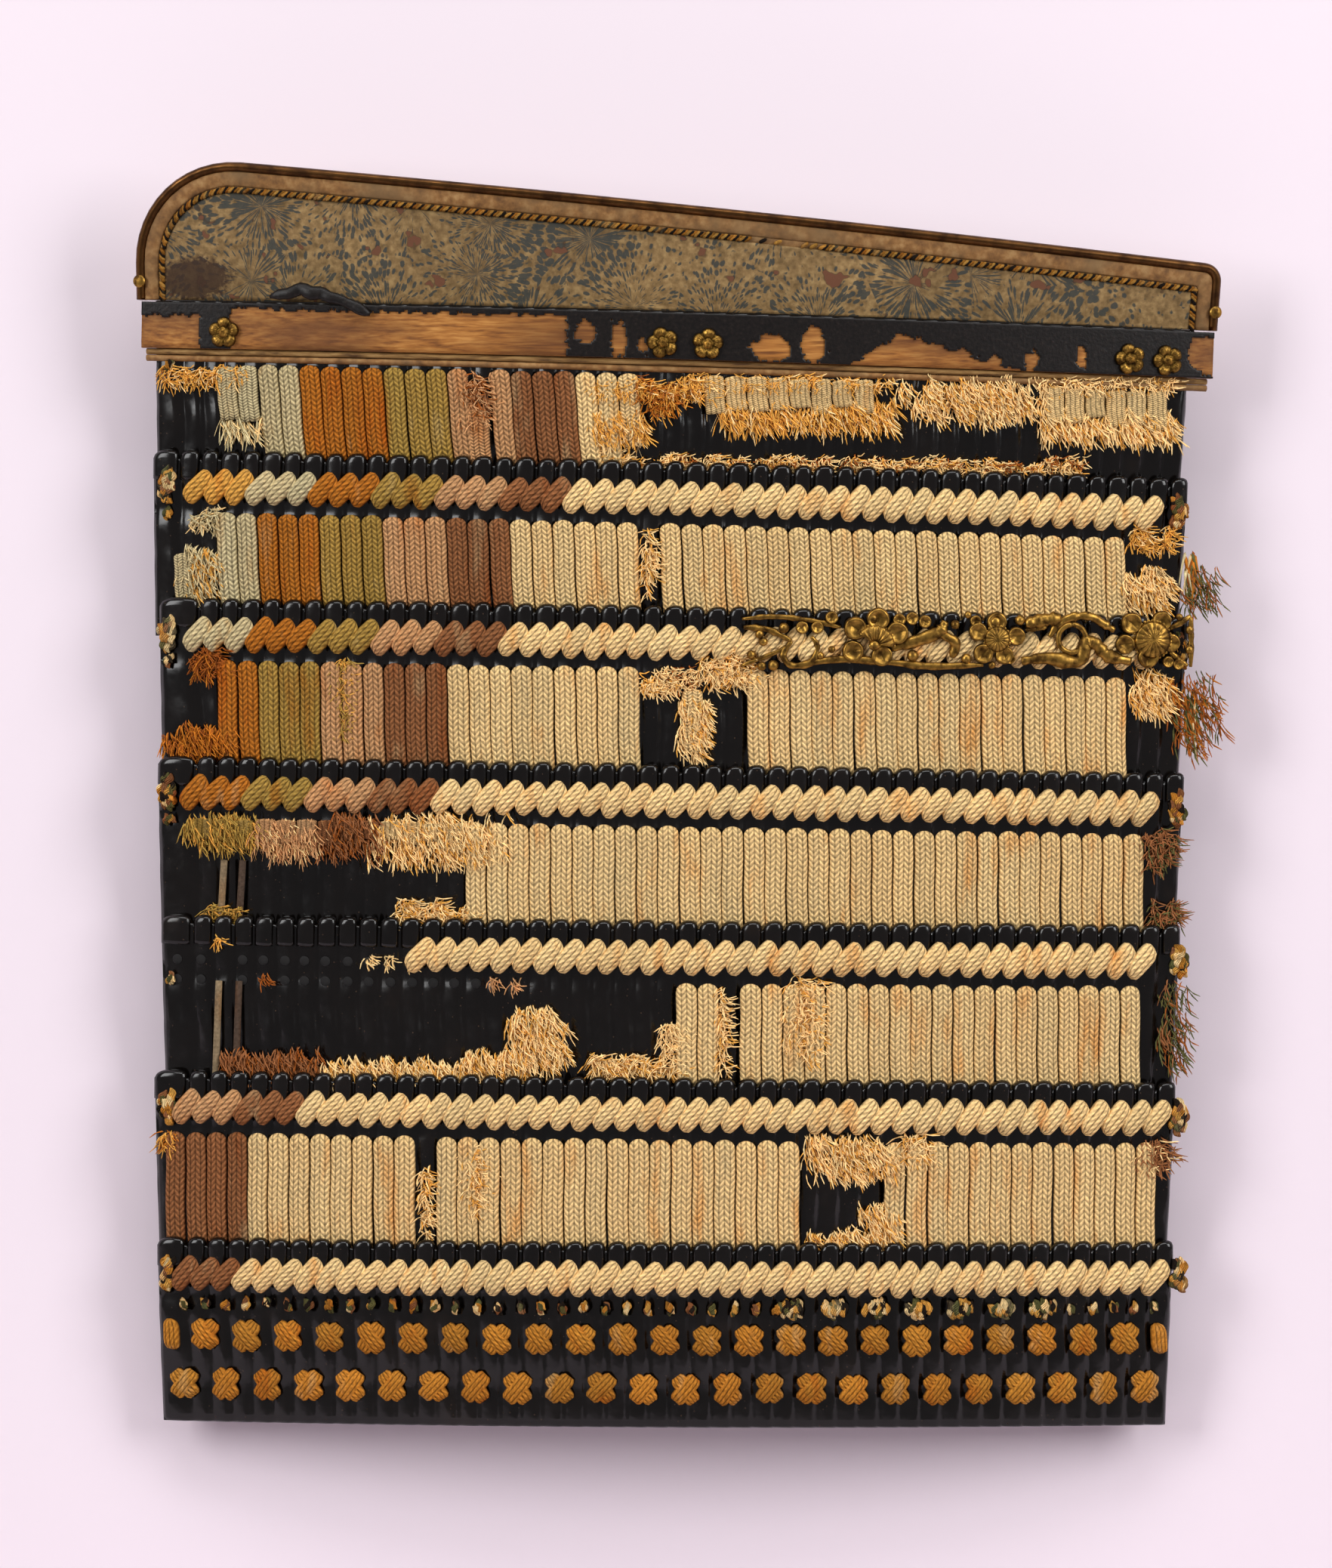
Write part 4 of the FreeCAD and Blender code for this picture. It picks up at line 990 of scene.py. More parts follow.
def onPlate(x, z, out):
    s = alongBoard(x)
    return onBoard(1, s, z, plateDepth(z) + out)


def plateEdge(inset):
    slant = (plate["rightHigh"] - plate["leftHigh"]) / (plate["right"] + plate["left"])
    drop = inset * math.hypot(1, slant)
    left = -plate["left"] + inset
    right = plate["right"] - inset

    def height(x):
        return plate["leftHigh"] + slant * (x + plate["left"]) - drop

    points = []
    radii = (max(plate["leftCorner"] - inset, 1.0), max(plate["rightCorner"] - inset, 0.6))
    tilt = math.atan(slant)
    tangents = [radii[0] * math.tan((math.pi / 2 - tilt) / 2), radii[1] * math.tan((math.pi / 2 + tilt) / 2)]
    tops = (height(left) - tangents[0], height(right) - tangents[1])
    for n in range(plate["sideSteps"]):
        points.append((left, plate["low"] + (tops[0] - plate["low"]) * n / plate["sideSteps"]))
    centre = (left + radii[0], tops[0])
    for n in range(plate["cornerSteps"]):
        a = math.pi - (math.pi / 2 - tilt) * n / plate["cornerSteps"]
        points.append((centre[0] + radii[0] * math.cos(a), centre[1] + radii[0] * math.sin(a)))
    centre2 = (right - radii[1], tops[1])
    start = (centre[0] + radii[0] * math.cos(math.pi / 2 + tilt), centre[1] + radii[0] * math.sin(math.pi / 2 + tilt))
    end = (centre2[0] + radii[1] * math.cos(math.pi / 2 + tilt), centre2[1] + radii[1] * math.sin(math.pi / 2 + tilt))
    for n in range(plate["topSteps"]):
        share = n / plate["topSteps"]
        points.append((start[0] + (end[0] - start[0]) * share, start[1] + (end[1] - start[1]) * share))
    for n in range(plate["cornerSteps"]):
        a = math.pi / 2 + tilt - (math.pi / 2 + tilt) * n / plate["cornerSteps"]
        points.append((centre2[0] + radii[1] * math.cos(a), centre2[1] + radii[1] * math.sin(a)))
    for n in range(plate["sideSteps"] // 2 + 1):
        share = n / (plate["sideSteps"] // 2)
        points.append((right, tops[1] + (plate["low"] - tops[1]) * share))
    return points


# A closed band that follows the edge; its section is a list of (inset, height off the plate)
def edgeBand(name, section, material, replaced):
    rows = [plateEdge(inset) for inset, out in section]
    count = len(rows[0])
    points = np.zeros((count, len(section), 3))
    uv = np.zeros((count, len(section), 2))
    travelled = 0.0
    for n in range(count):
        if n:
            travelled += math.dist(rows[0][n], rows[0][n - 1])
        for m, (inset, out) in enumerate(section):
            points[n, m] = onPlate(rows[m][n][0], rows[m][n][1], out)
            uv[n, m] = (m / (len(section) - 1), travelled)
    shell = newShell()
    faces = gridFaces(count, len(section), wrap=True)
    width = len(section)
    faces.append(list(range(width))[::-1])
    faces.append([(count - 1) * width + m for m in range(width)])
    addPart(shell, points, faces, white, uv)
    return build(name, shell, material, "plate", replaced)


rimMiddle = (plate["leather"] - plate["back"] - 0.1) / 2
rimSection = []
for n in range(14):
    a = 2 * math.pi * n / 14
    rimSection.append((plate["rim"] / 2 * (1 - math.cos(a)), rimMiddle + plate["rimDeep"] / 2 * math.sin(a)))
edgeBand("rim", rimSection, "patinatedRim", ["rim"])


def leatherSection(outer, inner, thick):
    return [(outer, 0.05), (outer + 0.05, thick * 0.7), (outer + 0.5, thick), (inner - 0.5, thick),
            (inner - 0.05, thick * 0.7), (inner, 0.05)]


edgeBand("borderLeather", leatherSection(plate["rim"] - 0.3, plate["borderIn"], plate["leather"]),
         "borderLeather", ["border_leather"])


# Field of the plate: columns across it, each from its low edge to the top of the given inset outline
def fieldColumns(inset, rows):
    edge = plateEdge(inset)
    xs = np.array([p[0] for p in edge])
    zs = np.array([p[1] for p in edge])
    start = plate["sideSteps"] - 1
    stop = len(edge) - plate["sideSteps"] // 2
    xs = np.maximum.accumulate(xs[start:stop] + np.arange(stop - start) * 1e-5)
    zs = zs[start:stop]
    share = np.linspace(0, 1, rows)
    return xs, [plate["low"] + (z - plate["low"]) * share for z in zs]


def makeField(name, inset, front, back, material, replaced, rough=0.0):
    rows = 26
    xs, heights = fieldColumns(inset, rows)

    def row(r):
        ahead, behind = [], []
        for x, column in zip(xs, heights):
            ahead.append(onPlate(x, column[r], front + rough * noise.noise(Vector((x / 12, column[r] / 9, 3.1)))))
            behind.append(onPlate(x, column[r], back))
        return ahead, behind

    shell = newShell()
    addRows(shell, range(rows - 1, -1, -1), row)
    return build(name, shell, material, "plate", replaced)


makeField("mainLeather", plate["braidIn"] - 0.2, plate["leather"], 0.05, "printedDeerLeather",
          ["main_leather"], 0.12)
makeField("plateLining", plate["rim"], -2.05, -2.75, "plainHide", ["plate_lining"], 0.06)


# Stitches of the braid between the two leathers: gold and black by turns, gone over one stretch
def braidItem():
    u = np.linspace(-1, 1, 7)

    def row(v):
        swell = rounded(v, 3)
        wide = 0.4 + 0.6 * swell
        x = v * 1.1 - u * 0.42 * wide * 0.7
        return rowOf(x, 0.55 * swell * rounded(u, 2.4) + 0.05, v * 0.75 + u * 0.5 * wide, 0.3)

    return slabItem("braidStitch", np.linspace(-1, 1, 7), row)


places = []
path = plateEdge((plate["borderIn"] + plate["braidIn"]) / 2)
spacing = 0.95
carried = 0.0
step = 0
for (x0, z0), (x1, z1) in zip(path, path[1:]):
    reach = math.dist((x0, z0), (x1, z1))
    heading = math.atan2(z1 - z0, x1 - x0)
    while carried < reach:
        share = carried / reach
        x = x0 + (x1 - x0) * share
        z = z0 + (z1 - z0) * share
        px = pixelAcross(x)
        step += 1
        carried += spacing
        gone = 990 < px < 1085 and z > 20 and rng.random() < 0.8
        if gone or rng.random() < 0.03:
            continue
        s = alongBoard(x)
        tint = silkTint(["golden", "dark", "amber"][step % 3], 0.2)
        places.append((onPlate(x, z, plate["leather"] + 0.25), boardTurn(1, s, -heading), (1.0, 1.0, 1.0), tint))
    carried -= reach
repeated("stitchedBraid", braidItem(), places, "silkBraid", "plate", ["stitched_braid"],
         seed=90, sizeJitter=0.08, turnJitter=0.12)
edgeBand("braidBed", leatherSection(plate["borderIn"] - 0.1, plate["braidIn"] + 0.1, 0.55),
         "borderLeather", [])
print("top plate made")

# Facing board of bare wood with remains of its black skin, and two thin mouldings below it
facing = {
    "left": -167.8, "right": 173.7, "top": -0.6, "tall": 14.6, "thick": 2.2, "front": 2.25,
    "skin": 0.5,
    "moulding": 2.0, "proud": 1.35, "flap": [(-126.5, -116.0, -104.0, -94.3), (1.4, 3.9, 1.0, -3.4)],
}


def strip(name, x0, x1, top, bottom, d, thick, material, replaced, rows, bulge=0.0):
    s = [alongBoard(x0 + (x1 - x0) * n / 259) for n in range(260)]

    def row(v):
        z = top + (bottom - top) * v
        edge = 0.1 * thick if v in (0, 1) else 0.0
        return onBoard(1, s, z, d + thick - edge + bulge * rounded(2 * v - 1, 2)), onBoard(1, s, z, d)

    shell = newShell()
    addRows(shell, np.linspace(0, 1, rows), row)
    return build(name, shell, material, "plate", replaced)


faceLow = facing["top"] - facing["tall"]
strip("facingBoard", facing["left"], facing["right"], facing["top"], faceLow, 0.05, facing["thick"],
      "bareWood", ["facing_board"], 9)
wide = facing["right"] - facing["left"]

# Where the skin of the facing board is gone, in pixels: boxes, ovals (middle, half sizes) and one slope
bare = {
    "boxes": [(304, 751, 380, 500), (150, 264, 413, 500)],
    "ovals": [(776, 440, 14, 15), (820, 448, 10, 26), (851, 460, 6, 10), (1021, 462, 26, 18), (1076, 458, 16, 23),
              (1274, 470, 13, 12), (1316, 478, 9, 9), (1365, 476, 9, 13), (1431, 474, 7, 12), (1600, 462, 26, 30)],
    "slope": [(1114, 492), (1190, 441), (1386, 500)],
    "strip": 6.5, "ragged": 5.0, "cell": 0.6,
}


def bareness(px, py, down):
    most = -50.0
    for x0, x1, y0, y1 in bare["boxes"]:
        most = max(most, min(px - x0, x1 - px, py - y0, y1 - py))
    for x, y, halfWide, halfTall in bare["ovals"]:
        reach = math.hypot((px - x) / halfWide, (py - y) / halfTall)
        most = max(most, (1 - reach) * min(halfWide, halfTall))
    (x0, y0), (x1, y1), (x2, y2) = bare["slope"]
    if x0 < px < x2:
        most = max(most, (py - np.interp(px, [x0, x1, x2], [y0, y1, y2])) * 0.8)
    return min(most, down - bare["strip"])


# A sheet between two grids of points with only the kept cells
def addMasked(shell, ahead, behind, keep):
    for turn in range(3):
        blocks = (keep[:-1, :-1], keep[:-1, 1:], keep[1:, :-1], keep[1:, 1:])
        crossed = (blocks[0] & blocks[3] & ~blocks[1] & ~blocks[2]) | (blocks[1] & blocks[2] & ~blocks[0] & ~blocks[3])
        for block in blocks:
            block |= crossed
    points = []
    found = {}

    def corner(side, r, c):
        if (side, r, c) not in found:
            found[side, r, c] = len(points)
            points.append(ahead[r, c] if side else behind[r, c])
        return found[side, r, c]

    faces = []
    around = ((0, -1), (1, 0), (0, 1), (-1, 0))
    rows, cols = keep.shape
    for r, c in zip(*np.nonzero(keep)):
        ring = ((r, c), (r + 1, c), (r + 1, c + 1), (r, c + 1))
        front = [corner(1, *place) for place in ring]
        rear = [corner(0, *place) for place in ring]
        faces += [front, rear[::-1]]
        for n, (down, right) in enumerate(around):
            inside = 0 <= r + down < rows and 0 <= c + right < cols
            if not (inside and keep[r + down, c + right]):
                m = (n + 1) % 4
                faces.append([front[m], front[n], rear[n], rear[m]])
    addPart(shell, points, faces, white)


def makeSkin():
    rows = round(facing["tall"] / bare["cell"])
    cols = round(wide / bare["cell"])
    ahead = np.zeros((rows + 1, cols + 1, 3))
    behind = np.zeros((rows + 1, cols + 1, 3))
    keep = np.zeros((rows, cols), bool)
    slope = math.radians(boards["slopes"][0])
    for c in range(cols + 1):
        x = facing["left"] + wide * c / cols
        s = alongBoard(x)
        for r in range(rows + 1):
            z = facing["top"] - facing["tall"] * r / rows
            ahead[r, c] = onBoard(1, s, z, facing["front"] + facing["skin"])
            behind[r, c] = onBoard(1, s, z, facing["front"] - 0.1)
            if r < rows and c < cols:
                px = pixelAcross(x)
                py = (x * math.sin(slope) - z - boards["head"]) / photoScale + photoTop
                rag = bare["ragged"] * noise.noise(Vector((px / 9, py / 7, 2.3)))
                rag += 0.5 * bare["ragged"] * noise.noise(Vector((px / 3.5, py / 3.5, 7.1)))
                keep[r, c] = bareness(px, py, -(z - facing["top"]) / photoScale) + rag < 0
    shell = newShell()
    addMasked(shell, ahead, behind, keep)
    return build("boardSkin", shell, "lacqueredSkin", "plate", ["board_skin"])


makeSkin()
path = []
for share in np.linspace(0, 1, 26):
    x, z = (np.interp(share, [0, 0.3, 0.7, 1], row) for row in facing["flap"])
    wave = 0.7 * noise.noise(Vector((share * 9, 2.0, 5.0)))
    path.append(onBoard(1, alongBoard(x), z + wave, facing["front"] + 1.3 - wave))
radii = np.interp(np.linspace(0, 1, 26), [0, 0.08, 0.4, 0.75, 0.9, 1], [0.5, 1.7, 2.3, 1.5, 2.0, 0.7]) * mm
shell = newShell()
addTube(shell, path, radii, 12, white, squash=0.6)
build("skinFlap", shell, "lacqueredSkin", "plate", ["skin_flap"])
mouldTop = faceLow - 0.05
for n, (name, material) in enumerate((("upper", "plainHide"), ("lower", "borderLeather"))):
    top = mouldTop - n * (facing["moulding"] + 0.05)
    strip(f"{name}Moulding", facing["left"] + facing["proud"], facing["right"] - facing["proud"], top,
          top - facing["moulding"], 0.1, 0.1, material, [f"{name}_moulding"],
          11, facing["proud"] - 0.1)


# Flower rivets, rim rivets and the pins of the ornament
rivets = {"places": [-0.826, -0.01, 0.073, 0.859, 0.93], "drop": -10.1, "radius": 5.1}
places = []
for share in rivets["places"]:
    x = wide / 2 * share
    s = alongBoard(x)
    seat = facing["front"] + facing["skin"] + 0.25
    places.append(spot(1, s, rivets["drop"], seat, (rng.uniform(0, 6),), (rivets["radius"],) * 3, grey(0.5)))
repeated("flowerRivets", flowerShape, places, "agedGilt", "plate", ["flower_rivets"], seed=91)


def domeItem(name, high=0.5):
    shell = newShell()
    turn = np.linspace(0, 2 * math.pi, 20, endpoint=False)
    points = []
    for a in np.linspace(0, math.pi / 2, 8):
        reach = max(math.sin(a), 0.01)
        points.append(np.stack([np.sin(turn) * reach, np.full(20, -high * math.cos(a)), np.cos(turn) * reach], -1))
    faces = gridFaces(8, 20, wrap=True) + [[140 + n for n in range(20)], [19 - n for n in range(20)]]
    addPart(shell, np.array(points) * mm, faces)
    return item(name, shell)


domeShape = domeItem("rivetHead")
places = []
for x in (-plate["left"] + plate["rim"] / 2, plate["right"] - plate["rim"] / 2):
    s = alongBoard(x)
    out = plateDepth(6.0) + rimMiddle + plate["rimDeep"] / 2
    places.append(spot(1, s, 6.0, out, (), (2.1, 2.0, 2.1), white))
repeated("rimRivets", domeShape, places, "agedGilt", "plate", ["rim_rivets"], seed=92)
print("facing board made")

# Rings of round wire on the back, their staples and seats
rings = {
    "eyeAngle": [("left", -120.0), ("centre", 0.0), ("right", 120.0)], "rise": 16.0, "reach": 5.2, "eye": 2.3,
    "wire": 1.6, "tang": 1.1, "radius": 8.7, "ringWire": 1.3, "seat": 6.0, "seatThick": 0.8,
    "mizunomi": (148.0, -46.0),
}


# Points about an eye: X along the board, Y into it and Z up its face, in millimetres
def eyeFrame(k, s, z, out, lean):
    place = Vector(onBoard(k, s, z, out))
    turn = Euler(boardTurn(k, s, 0.0, lean)).to_matrix()

    def at(x, y, z):
        return tuple(place + turn @ (Vector((x, y, z)) * mm))

    return at


def addRing(shell, at, radius, wire, drop, facesFront, steps, sides):
    points = []
    for n in range(steps):
        a = 2 * math.pi * n / steps
        for m in range(sides):
            b = 2 * math.pi * m / sides
            reach = radius + wire * math.cos(b)
            level = (reach * math.cos(a), wire * math.sin(b))
            points.append(at(*(level if facesFront else level[::-1]), reach * math.sin(a) - drop))
    faces = [[i % len(points) for i in face] for face in gridFaces(steps + 1, sides, wrap=True)]
    addPart(shell, points, faces)


# A ring in the eye of its staple, whose tang goes through a round seat
def hangRing(name, part, at, stapleShell, seatShell, tang):
    addRing(stapleShell, at, rings["eye"] + rings["wire"] / 2, rings["wire"] / 2, 0, False, 40, 12)
    addTube(stapleShell, [at(0, y, 0) for y in np.linspace(-rings["eye"] - 0.6, -tang, 4)], [rings["tang"] * mm] * 4)
    seat, thick = rings["seat"], rings["seatThick"]
    outline = ((2.0, 0.0), (seat - 0.5, 0.0), (seat, -0.3), (seat, -thick), (2.0, -thick))
    points = [at(radius * math.cos(a), thick + y - rings["reach"], radius * math.sin(a))
              for radius, y in outline for a in np.linspace(0, 2 * math.pi, 32, endpoint=False)]
    faces = [[i % len(points) for i in face] for face in gridFaces(len(outline) + 1, 32, wrap=True)]
    addPart(seatShell, points, faces)
    shell = newShell()
    addRing(shell, at, rings["radius"], rings["ringWire"], rings["radius"], True, 64, 14)
    build(name, shell, "agedGilt", part, [part])


shells = (newShell(), newShell())
out = plateDepth(rings["rise"]) - plate["back"] - rings["reach"]
for side, x in rings["eyeAngle"]:
    at = eyeFrame(1, alongBoard(x), rings["rise"], out, -math.radians(8))
    hangRing(f"ring{side.capitalize()}", f"ring_{side}", at, *shells, rings["reach"] + 2.4)
build("ringStaples", shells[0], "agedGilt", "plate", ["ring_staples"])
build("stapleSeats", shells[1], "agedGilt", "plate", ["staple_seats"])
shells = (newShell(), newShell())
x, z = rings["mizunomi"]
at = eyeFrame(4, alongBoard(x), z, -boards["thick"] - rings["reach"], 0.0)
hangRing("mizunomiRing", "mizunomi_ring", at, *shells, rings["reach"] + 1.6)
build("mizunomiStaple", shells[0], "agedGilt", "board_4", ["mizunomi_staple"])
build("mizunomiSeat", shells[1], "agedGilt", "board_4", ["mizunomi_seat"])

# Iron plate: the CAD solid keeps its shape and takes a dark lacquer
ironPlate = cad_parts["top_plate"]
ironPlate.data.materials.clear()
ironPlate.data.materials.append(materials["lacqueredIron"])
print("rings made")

# Openwork plum branch in pixels of the photograph: wood as half width and path, round leaves, buds and flowers
ornament = {
    "out": 2.35, "left": 21.6, "right": 163.8, "pins": (0.30, 0.575, 0.92), "pinHigh": -3.07,  # in millimetres
    "wood": [
        (2.8, [(982, 820), (1025, 817), (1073, 822), (1112, 831)]),
        (3.4, [(984, 831), (1016, 834), (1047, 849)]),
        (2.4, [(1047, 849), (1031, 862), (980, 882)]),
        (3.6, [(1047, 849), (1036, 867), (1047, 881), (1073, 877), (1081, 856), (1073, 843)]),
        (3.8, [(1047, 882), (1112, 873), (1177, 877), (1231, 882), (1300, 880)]),
        (6.5, [(1179, 859), (1216, 847), (1242, 836), (1250, 823)]),
        (5.5, [(1242, 838), (1263, 851), (1259, 871)]),
        (7.5, [(1356, 826), (1380, 821), (1403, 818)]),
        (4.6, [(1388, 843), (1401, 825), (1421, 816), (1443, 816), (1460, 825), (1475, 834)]),
        (7.0, [(1351, 875), (1384, 871), (1427, 875), (1436, 851), (1449, 851), (1466, 867), (1497, 875)]),
        (2.8, [(1356, 834), (1370, 832), (1384, 830)]),
        (3.0, [(1548, 832), (1563, 824), (1577, 814)]),
        (3.0, [(1550, 862), (1562, 873), (1574, 880)]),
        (3.2, [(1577, 816), (1578, 846), (1577, 882)]),
    ],
    "ring": (1418, 845, 18.5, 3.6),
    "leaves": [(1061, 831, 9), (1081, 831, 9), (1100, 818, 9), (1189, 821, 9), (1206, 819, 9), (1223, 823, 9),
               (1547, 875, 8), (1561, 878, 8), (1336, 872, 7), (1290, 822, 8)],
    "buds": [(1037, 832, 7), (1010, 850, 6), (1005, 840, 6), (994, 867, 6), (1008, 882, 6), (1023, 881, 7),
             (1085, 868, 5), (1207, 868, 8), (1263, 827, 6), (1278, 872, 7), (1280, 814, 5), (1349, 821, 7),
             (1312, 880, 5), (1562, 816, 5), (1576, 833, 6), (1576, 859, 6), (1496, 818, 5), (1100, 860, 5)],
    "petals": {
        (1156, 851): [(1128, 862, 15), (1131, 832, 16), (1161, 820, 16), (1186, 838, 16), (1166, 868, 15)],
        (1318, 846): [(1318, 823, 14), (1293, 836, 13), (1344, 842, 13), (1300, 865, 14), (1328, 867, 13)],
        (1525, 846): [(1489, 852, 14), (1520, 869, 15), (1551, 850, 13), (1497, 824, 15), (1538, 821, 14)],
    },
    "discs": [(1318, 846, 17, 1.6), (1525, 846, 25, 1.2), (1525, 845, 15, 2.1)],
    "fan": (1156, 854, 26, 1.5),
}


def onPhoto(k, px, py, out):
    x = (px - photoMiddle) * photoScale
    z = (photoTop - py) * photoScale
    side, _, head, slope = boardPlace(k)
    localX = (x - side) * math.cos(slope) - (z - head) * math.sin(slope)
    localZ = (x - side) * math.sin(slope) + (z - head) * math.cos(slope)
    s = alongBoard(localX)
    return onBoard(k, s, localZ, out), s


def smoothPath(points, perStretch=8):
    points = np.array(points, float)
    ends = np.concatenate([[2 * points[0] - points[1]], points, [2 * points[-1] - points[-2]]])
    line = []
    for n in range(1, len(ends) - 2):
        p0, p1, p2, p3 = ends[n - 1:n + 3]
        for t in np.linspace(0, 1, perStretch, endpoint=False):
            line.append(0.5 * (2 * p1 + (p2 - p0) * t + (2 * p0 - 5 * p1 + 4 * p2 - p3) * t * t
                               + (3 * p1 - p0 - 3 * p2 + p3) * t ** 3))
    line.append(points[-1])
    return np.array(line)


# A dished petal, veined from its foot
def petalRing(radius, a):
    x = radius * np.sin(a)
    z = radius * np.cos(a) * (1 - 0.08 * np.abs(np.sin(a)))
    dish = np.interp(radius, [0, 0.4, 0.8, 0.92, 1], [0.24, 0.28, 0.6, 0.55, 0.1])
    out = dish + 0.12 * np.abs(np.sin(np.arctan2(x, z + 1.25) * 6.5)) * math.sin(math.pi * radius)
    return x, out, z, np.clip(0.15 + 1.5 * out, 0.2, 1.15)


# A domed disc with fine ribs from its middle
def discRing(radius, a):
    groove = np.abs(np.sin(a * 17 / 2)) ** 0.6
    dome = 0.34 * rounded(radius * 0.93, 2)
    out = dome + 0.11 * groove * math.sin(math.pi * min(1.0, radius * 1.05)) + 0.02
    level = np.clip(0.35 + 0.75 * groove * min(1.0, radius * 2) + 0.2 * (1 - radius), 0.3, 1.15)
    return radius * np.sin(a), out, radius * np.cos(a), level


def fanItem():
    a = np.linspace(-1.3, 1.3, 61)

    def row(radius):
        out = 0.12 + 0.24 * math.sin(math.pi * radius * 0.8) + 0.09 * np.abs(np.sin(a * 10))
        return rowOf(radius * np.sin(a), out, radius * np.cos(a), 0.02)

    return slabItem("ribbedFan", np.linspace(1, 0.25, 7), row)


def makeOrnament():
    base = ornament["out"]
    shell = newShell()
    for order, (half, branch) in enumerate(ornament["wood"]):
        line = smoothPath(branch)
        count = len(line)
        path = []
        for n, (px, py) in enumerate(line):
            lift = 0.25 * math.sin(n / count * math.pi * 2 + order * 2.1)
            path.append(onPhoto(3, px, py, base + 0.7 + lift)[0])
        taper = np.minimum(np.linspace(0, 1, count), np.linspace(1, 0, count)) * 2
        knobs = np.array([noise.noise(Vector((n * 0.45, order * 5.1, 0.7))) for n in range(count)])
        radii = 1.25 * half * photoScale * mm * (0.55 + 0.45 * np.clip(taper * 3, 0, 1)) * (1 + 0.4 * knobs)
        addTube(shell, path, radii, 10, grey(0.9), squash=0.7)
    x, y, radius, half = ornament["ring"]
    path = [onPhoto(3, x + radius * math.sin(a), y - radius * math.cos(a), base + 1.0)[0]
            for a in np.linspace(0, 2 * math.pi, 33)]
    addTube(shell, path, [half * photoScale * mm] * 33, 10, white, squash=0.7)
    build("plumBranches", shell, "agedGilt", "board_3", ["plum_ornament"])

    def spotAt(px, py, radius, out, deep=1.0, roll=0.0):
        point, s = onPhoto(3, px, py, base + out)
        size = radius * photoScale
        return point, boardTurn(3, s, roll), (size, size * deep, size), white

    def gild(name, item, places, seed):
        repeated(name, item, places, "agedGilt", "board_3", [], seed)

    places = []
    for (x, y), petals in ornament["petals"].items():
        for n, (px, py, radius) in enumerate(petals):
            places.append(spotAt(px, py, radius, 0.35 + 0.15 * (n % 2), 0.75, math.atan2(px - x, y - py)))
    for px, py, radius in ornament["leaves"]:
        places.append(spotAt(px, py, radius, 0.3, 1.0, rng.uniform(-2, 2)))
    gild("plumPetals", ringItem("petal", 10, 30, petalRing), places, 93)
    gild("plumDiscs", ringItem("ribbedDisc", 9, 68, discRing), [spotAt(*disc, 0.7) for disc in ornament["discs"]], 96)
    gild("plumFan", fanItem(), [spotAt(*ornament["fan"], 0.8, 0.35)], 97)
    beads = []
    for px, py, radius, out in ornament["discs"]:
        beads += [(px + radius * math.sin(a), py - radius * math.cos(a), 2.3, out)
                  for a in np.linspace(0, 2 * math.pi, round(radius * 1.2), endpoint=False)]
    px, py, radius, out = ornament["fan"]
    beads += [(px + radius * math.sin(a + 0.35), py - radius * math.cos(a + 0.35), 2.3, out)
              for a in np.linspace(-1.3, 1.3, 19)]
    beads += [(px, py, 8, out), (px - 5, py + 2, 3, out + 1.0), (px + 5, py + 1, 3, out + 1.0)]
    beads += [(*bud, 0.5) for bud in ornament["buds"]]
    gild("plumBuds", domeShape, [spotAt(*bead, 1.0 if bead[2] < 4 else 1.9) for bead in beads], 94)


makeOrnament()
places = []
for share in ornament["pins"]:
    x = ornament["left"] + (ornament["right"] - ornament["left"]) * share
    places.append(spot(3, alongBoard(x), ornament["pinHigh"], ornament["out"] + 1.15, (), (1.6, 1.8, 1.6), white))
repeated("ornamentPins", domeShape, places, "agedGilt", "board_3", ["ornament_pins"], seed=95)
print("ornament made")

# Remains of the edge lacing: mixed knots beside the ropes' ends and hanging lengths at the right edge
for k in range(2, 8):
    ends = [1566] if k == 5 else [219, 1566]
    places = []
    for px in ends:
        places += bundle(k, placeAt(px), ropes["middle"], 2.3, 5.0, knots["mixed"], 22, 1.0)
    repeated(f"edgeKnots{k}", dotShape, places, "silkTwist", f"board_{k}", [f"edge_rope_{k}"],
             seed=100 + k)
for k in (2, 3):
    edge = scaleEdges(k)[-1]
    places = []
    for n in range(26):
        s = edge + rng.uniform(-1.6, 2.2)
        name = rng.choice(["moss", "rust", "paleGreen", "orange"])
        places.append(spot(k, s, -24 - rng.uniform(0, 9), rng.uniform(0.3, 1.6), (rng.uniform(-0.35, 0.25),),
                           (1.5, 1.5, rng.uniform(7, 13)), silkTint(name, 0.2)))
    repeated(f"edgeTuft{k}", yarnShape, places, "frayedSilk", f"board_{k}", [f"edge_lacing_{k}"],
             seed=110 + k)

# Two thongs tie the boards below at the left
thongs = {
    "places": {4: (142.0, 136.0, 33.0), 5: (144.0, 137.5, 20.9)}, "tail": 8.5, "lean": 1.2, "half": 1.1, "out": 0.75,
    "tones": ((0.62, 0.45, 0.26, 1), (0.2, 0.13, 0.09, 1)),
}
for k, (left, right, top) in thongs["places"].items():
    shell = newShell()
    low = boards["drops"][k] + thongs["tail"]
    for x, tone in zip((-left, -right), thongs["tones"]):
        path = []
        for share in np.linspace(0, 1, 9):
            s = alongBoard(x + thongs["lean"] * (0.5 - share))
            path.append(onBoard(k, s, -top - (low - top) * share, thongs["out"]))
        addTube(shell, path, [thongs["half"] * mm] * 9, 10, tone, squash=0.42)
    made = build(f"thongs{k}", shell, "silkBraid", None, [f"thongs_{k}"])
    end = onBoard(k, 0.0, 1.0 - boards["drops"][k])
    tuple(onBoard(k, 0.0, -top))
    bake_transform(made)
print("edge lacing and thongs made")

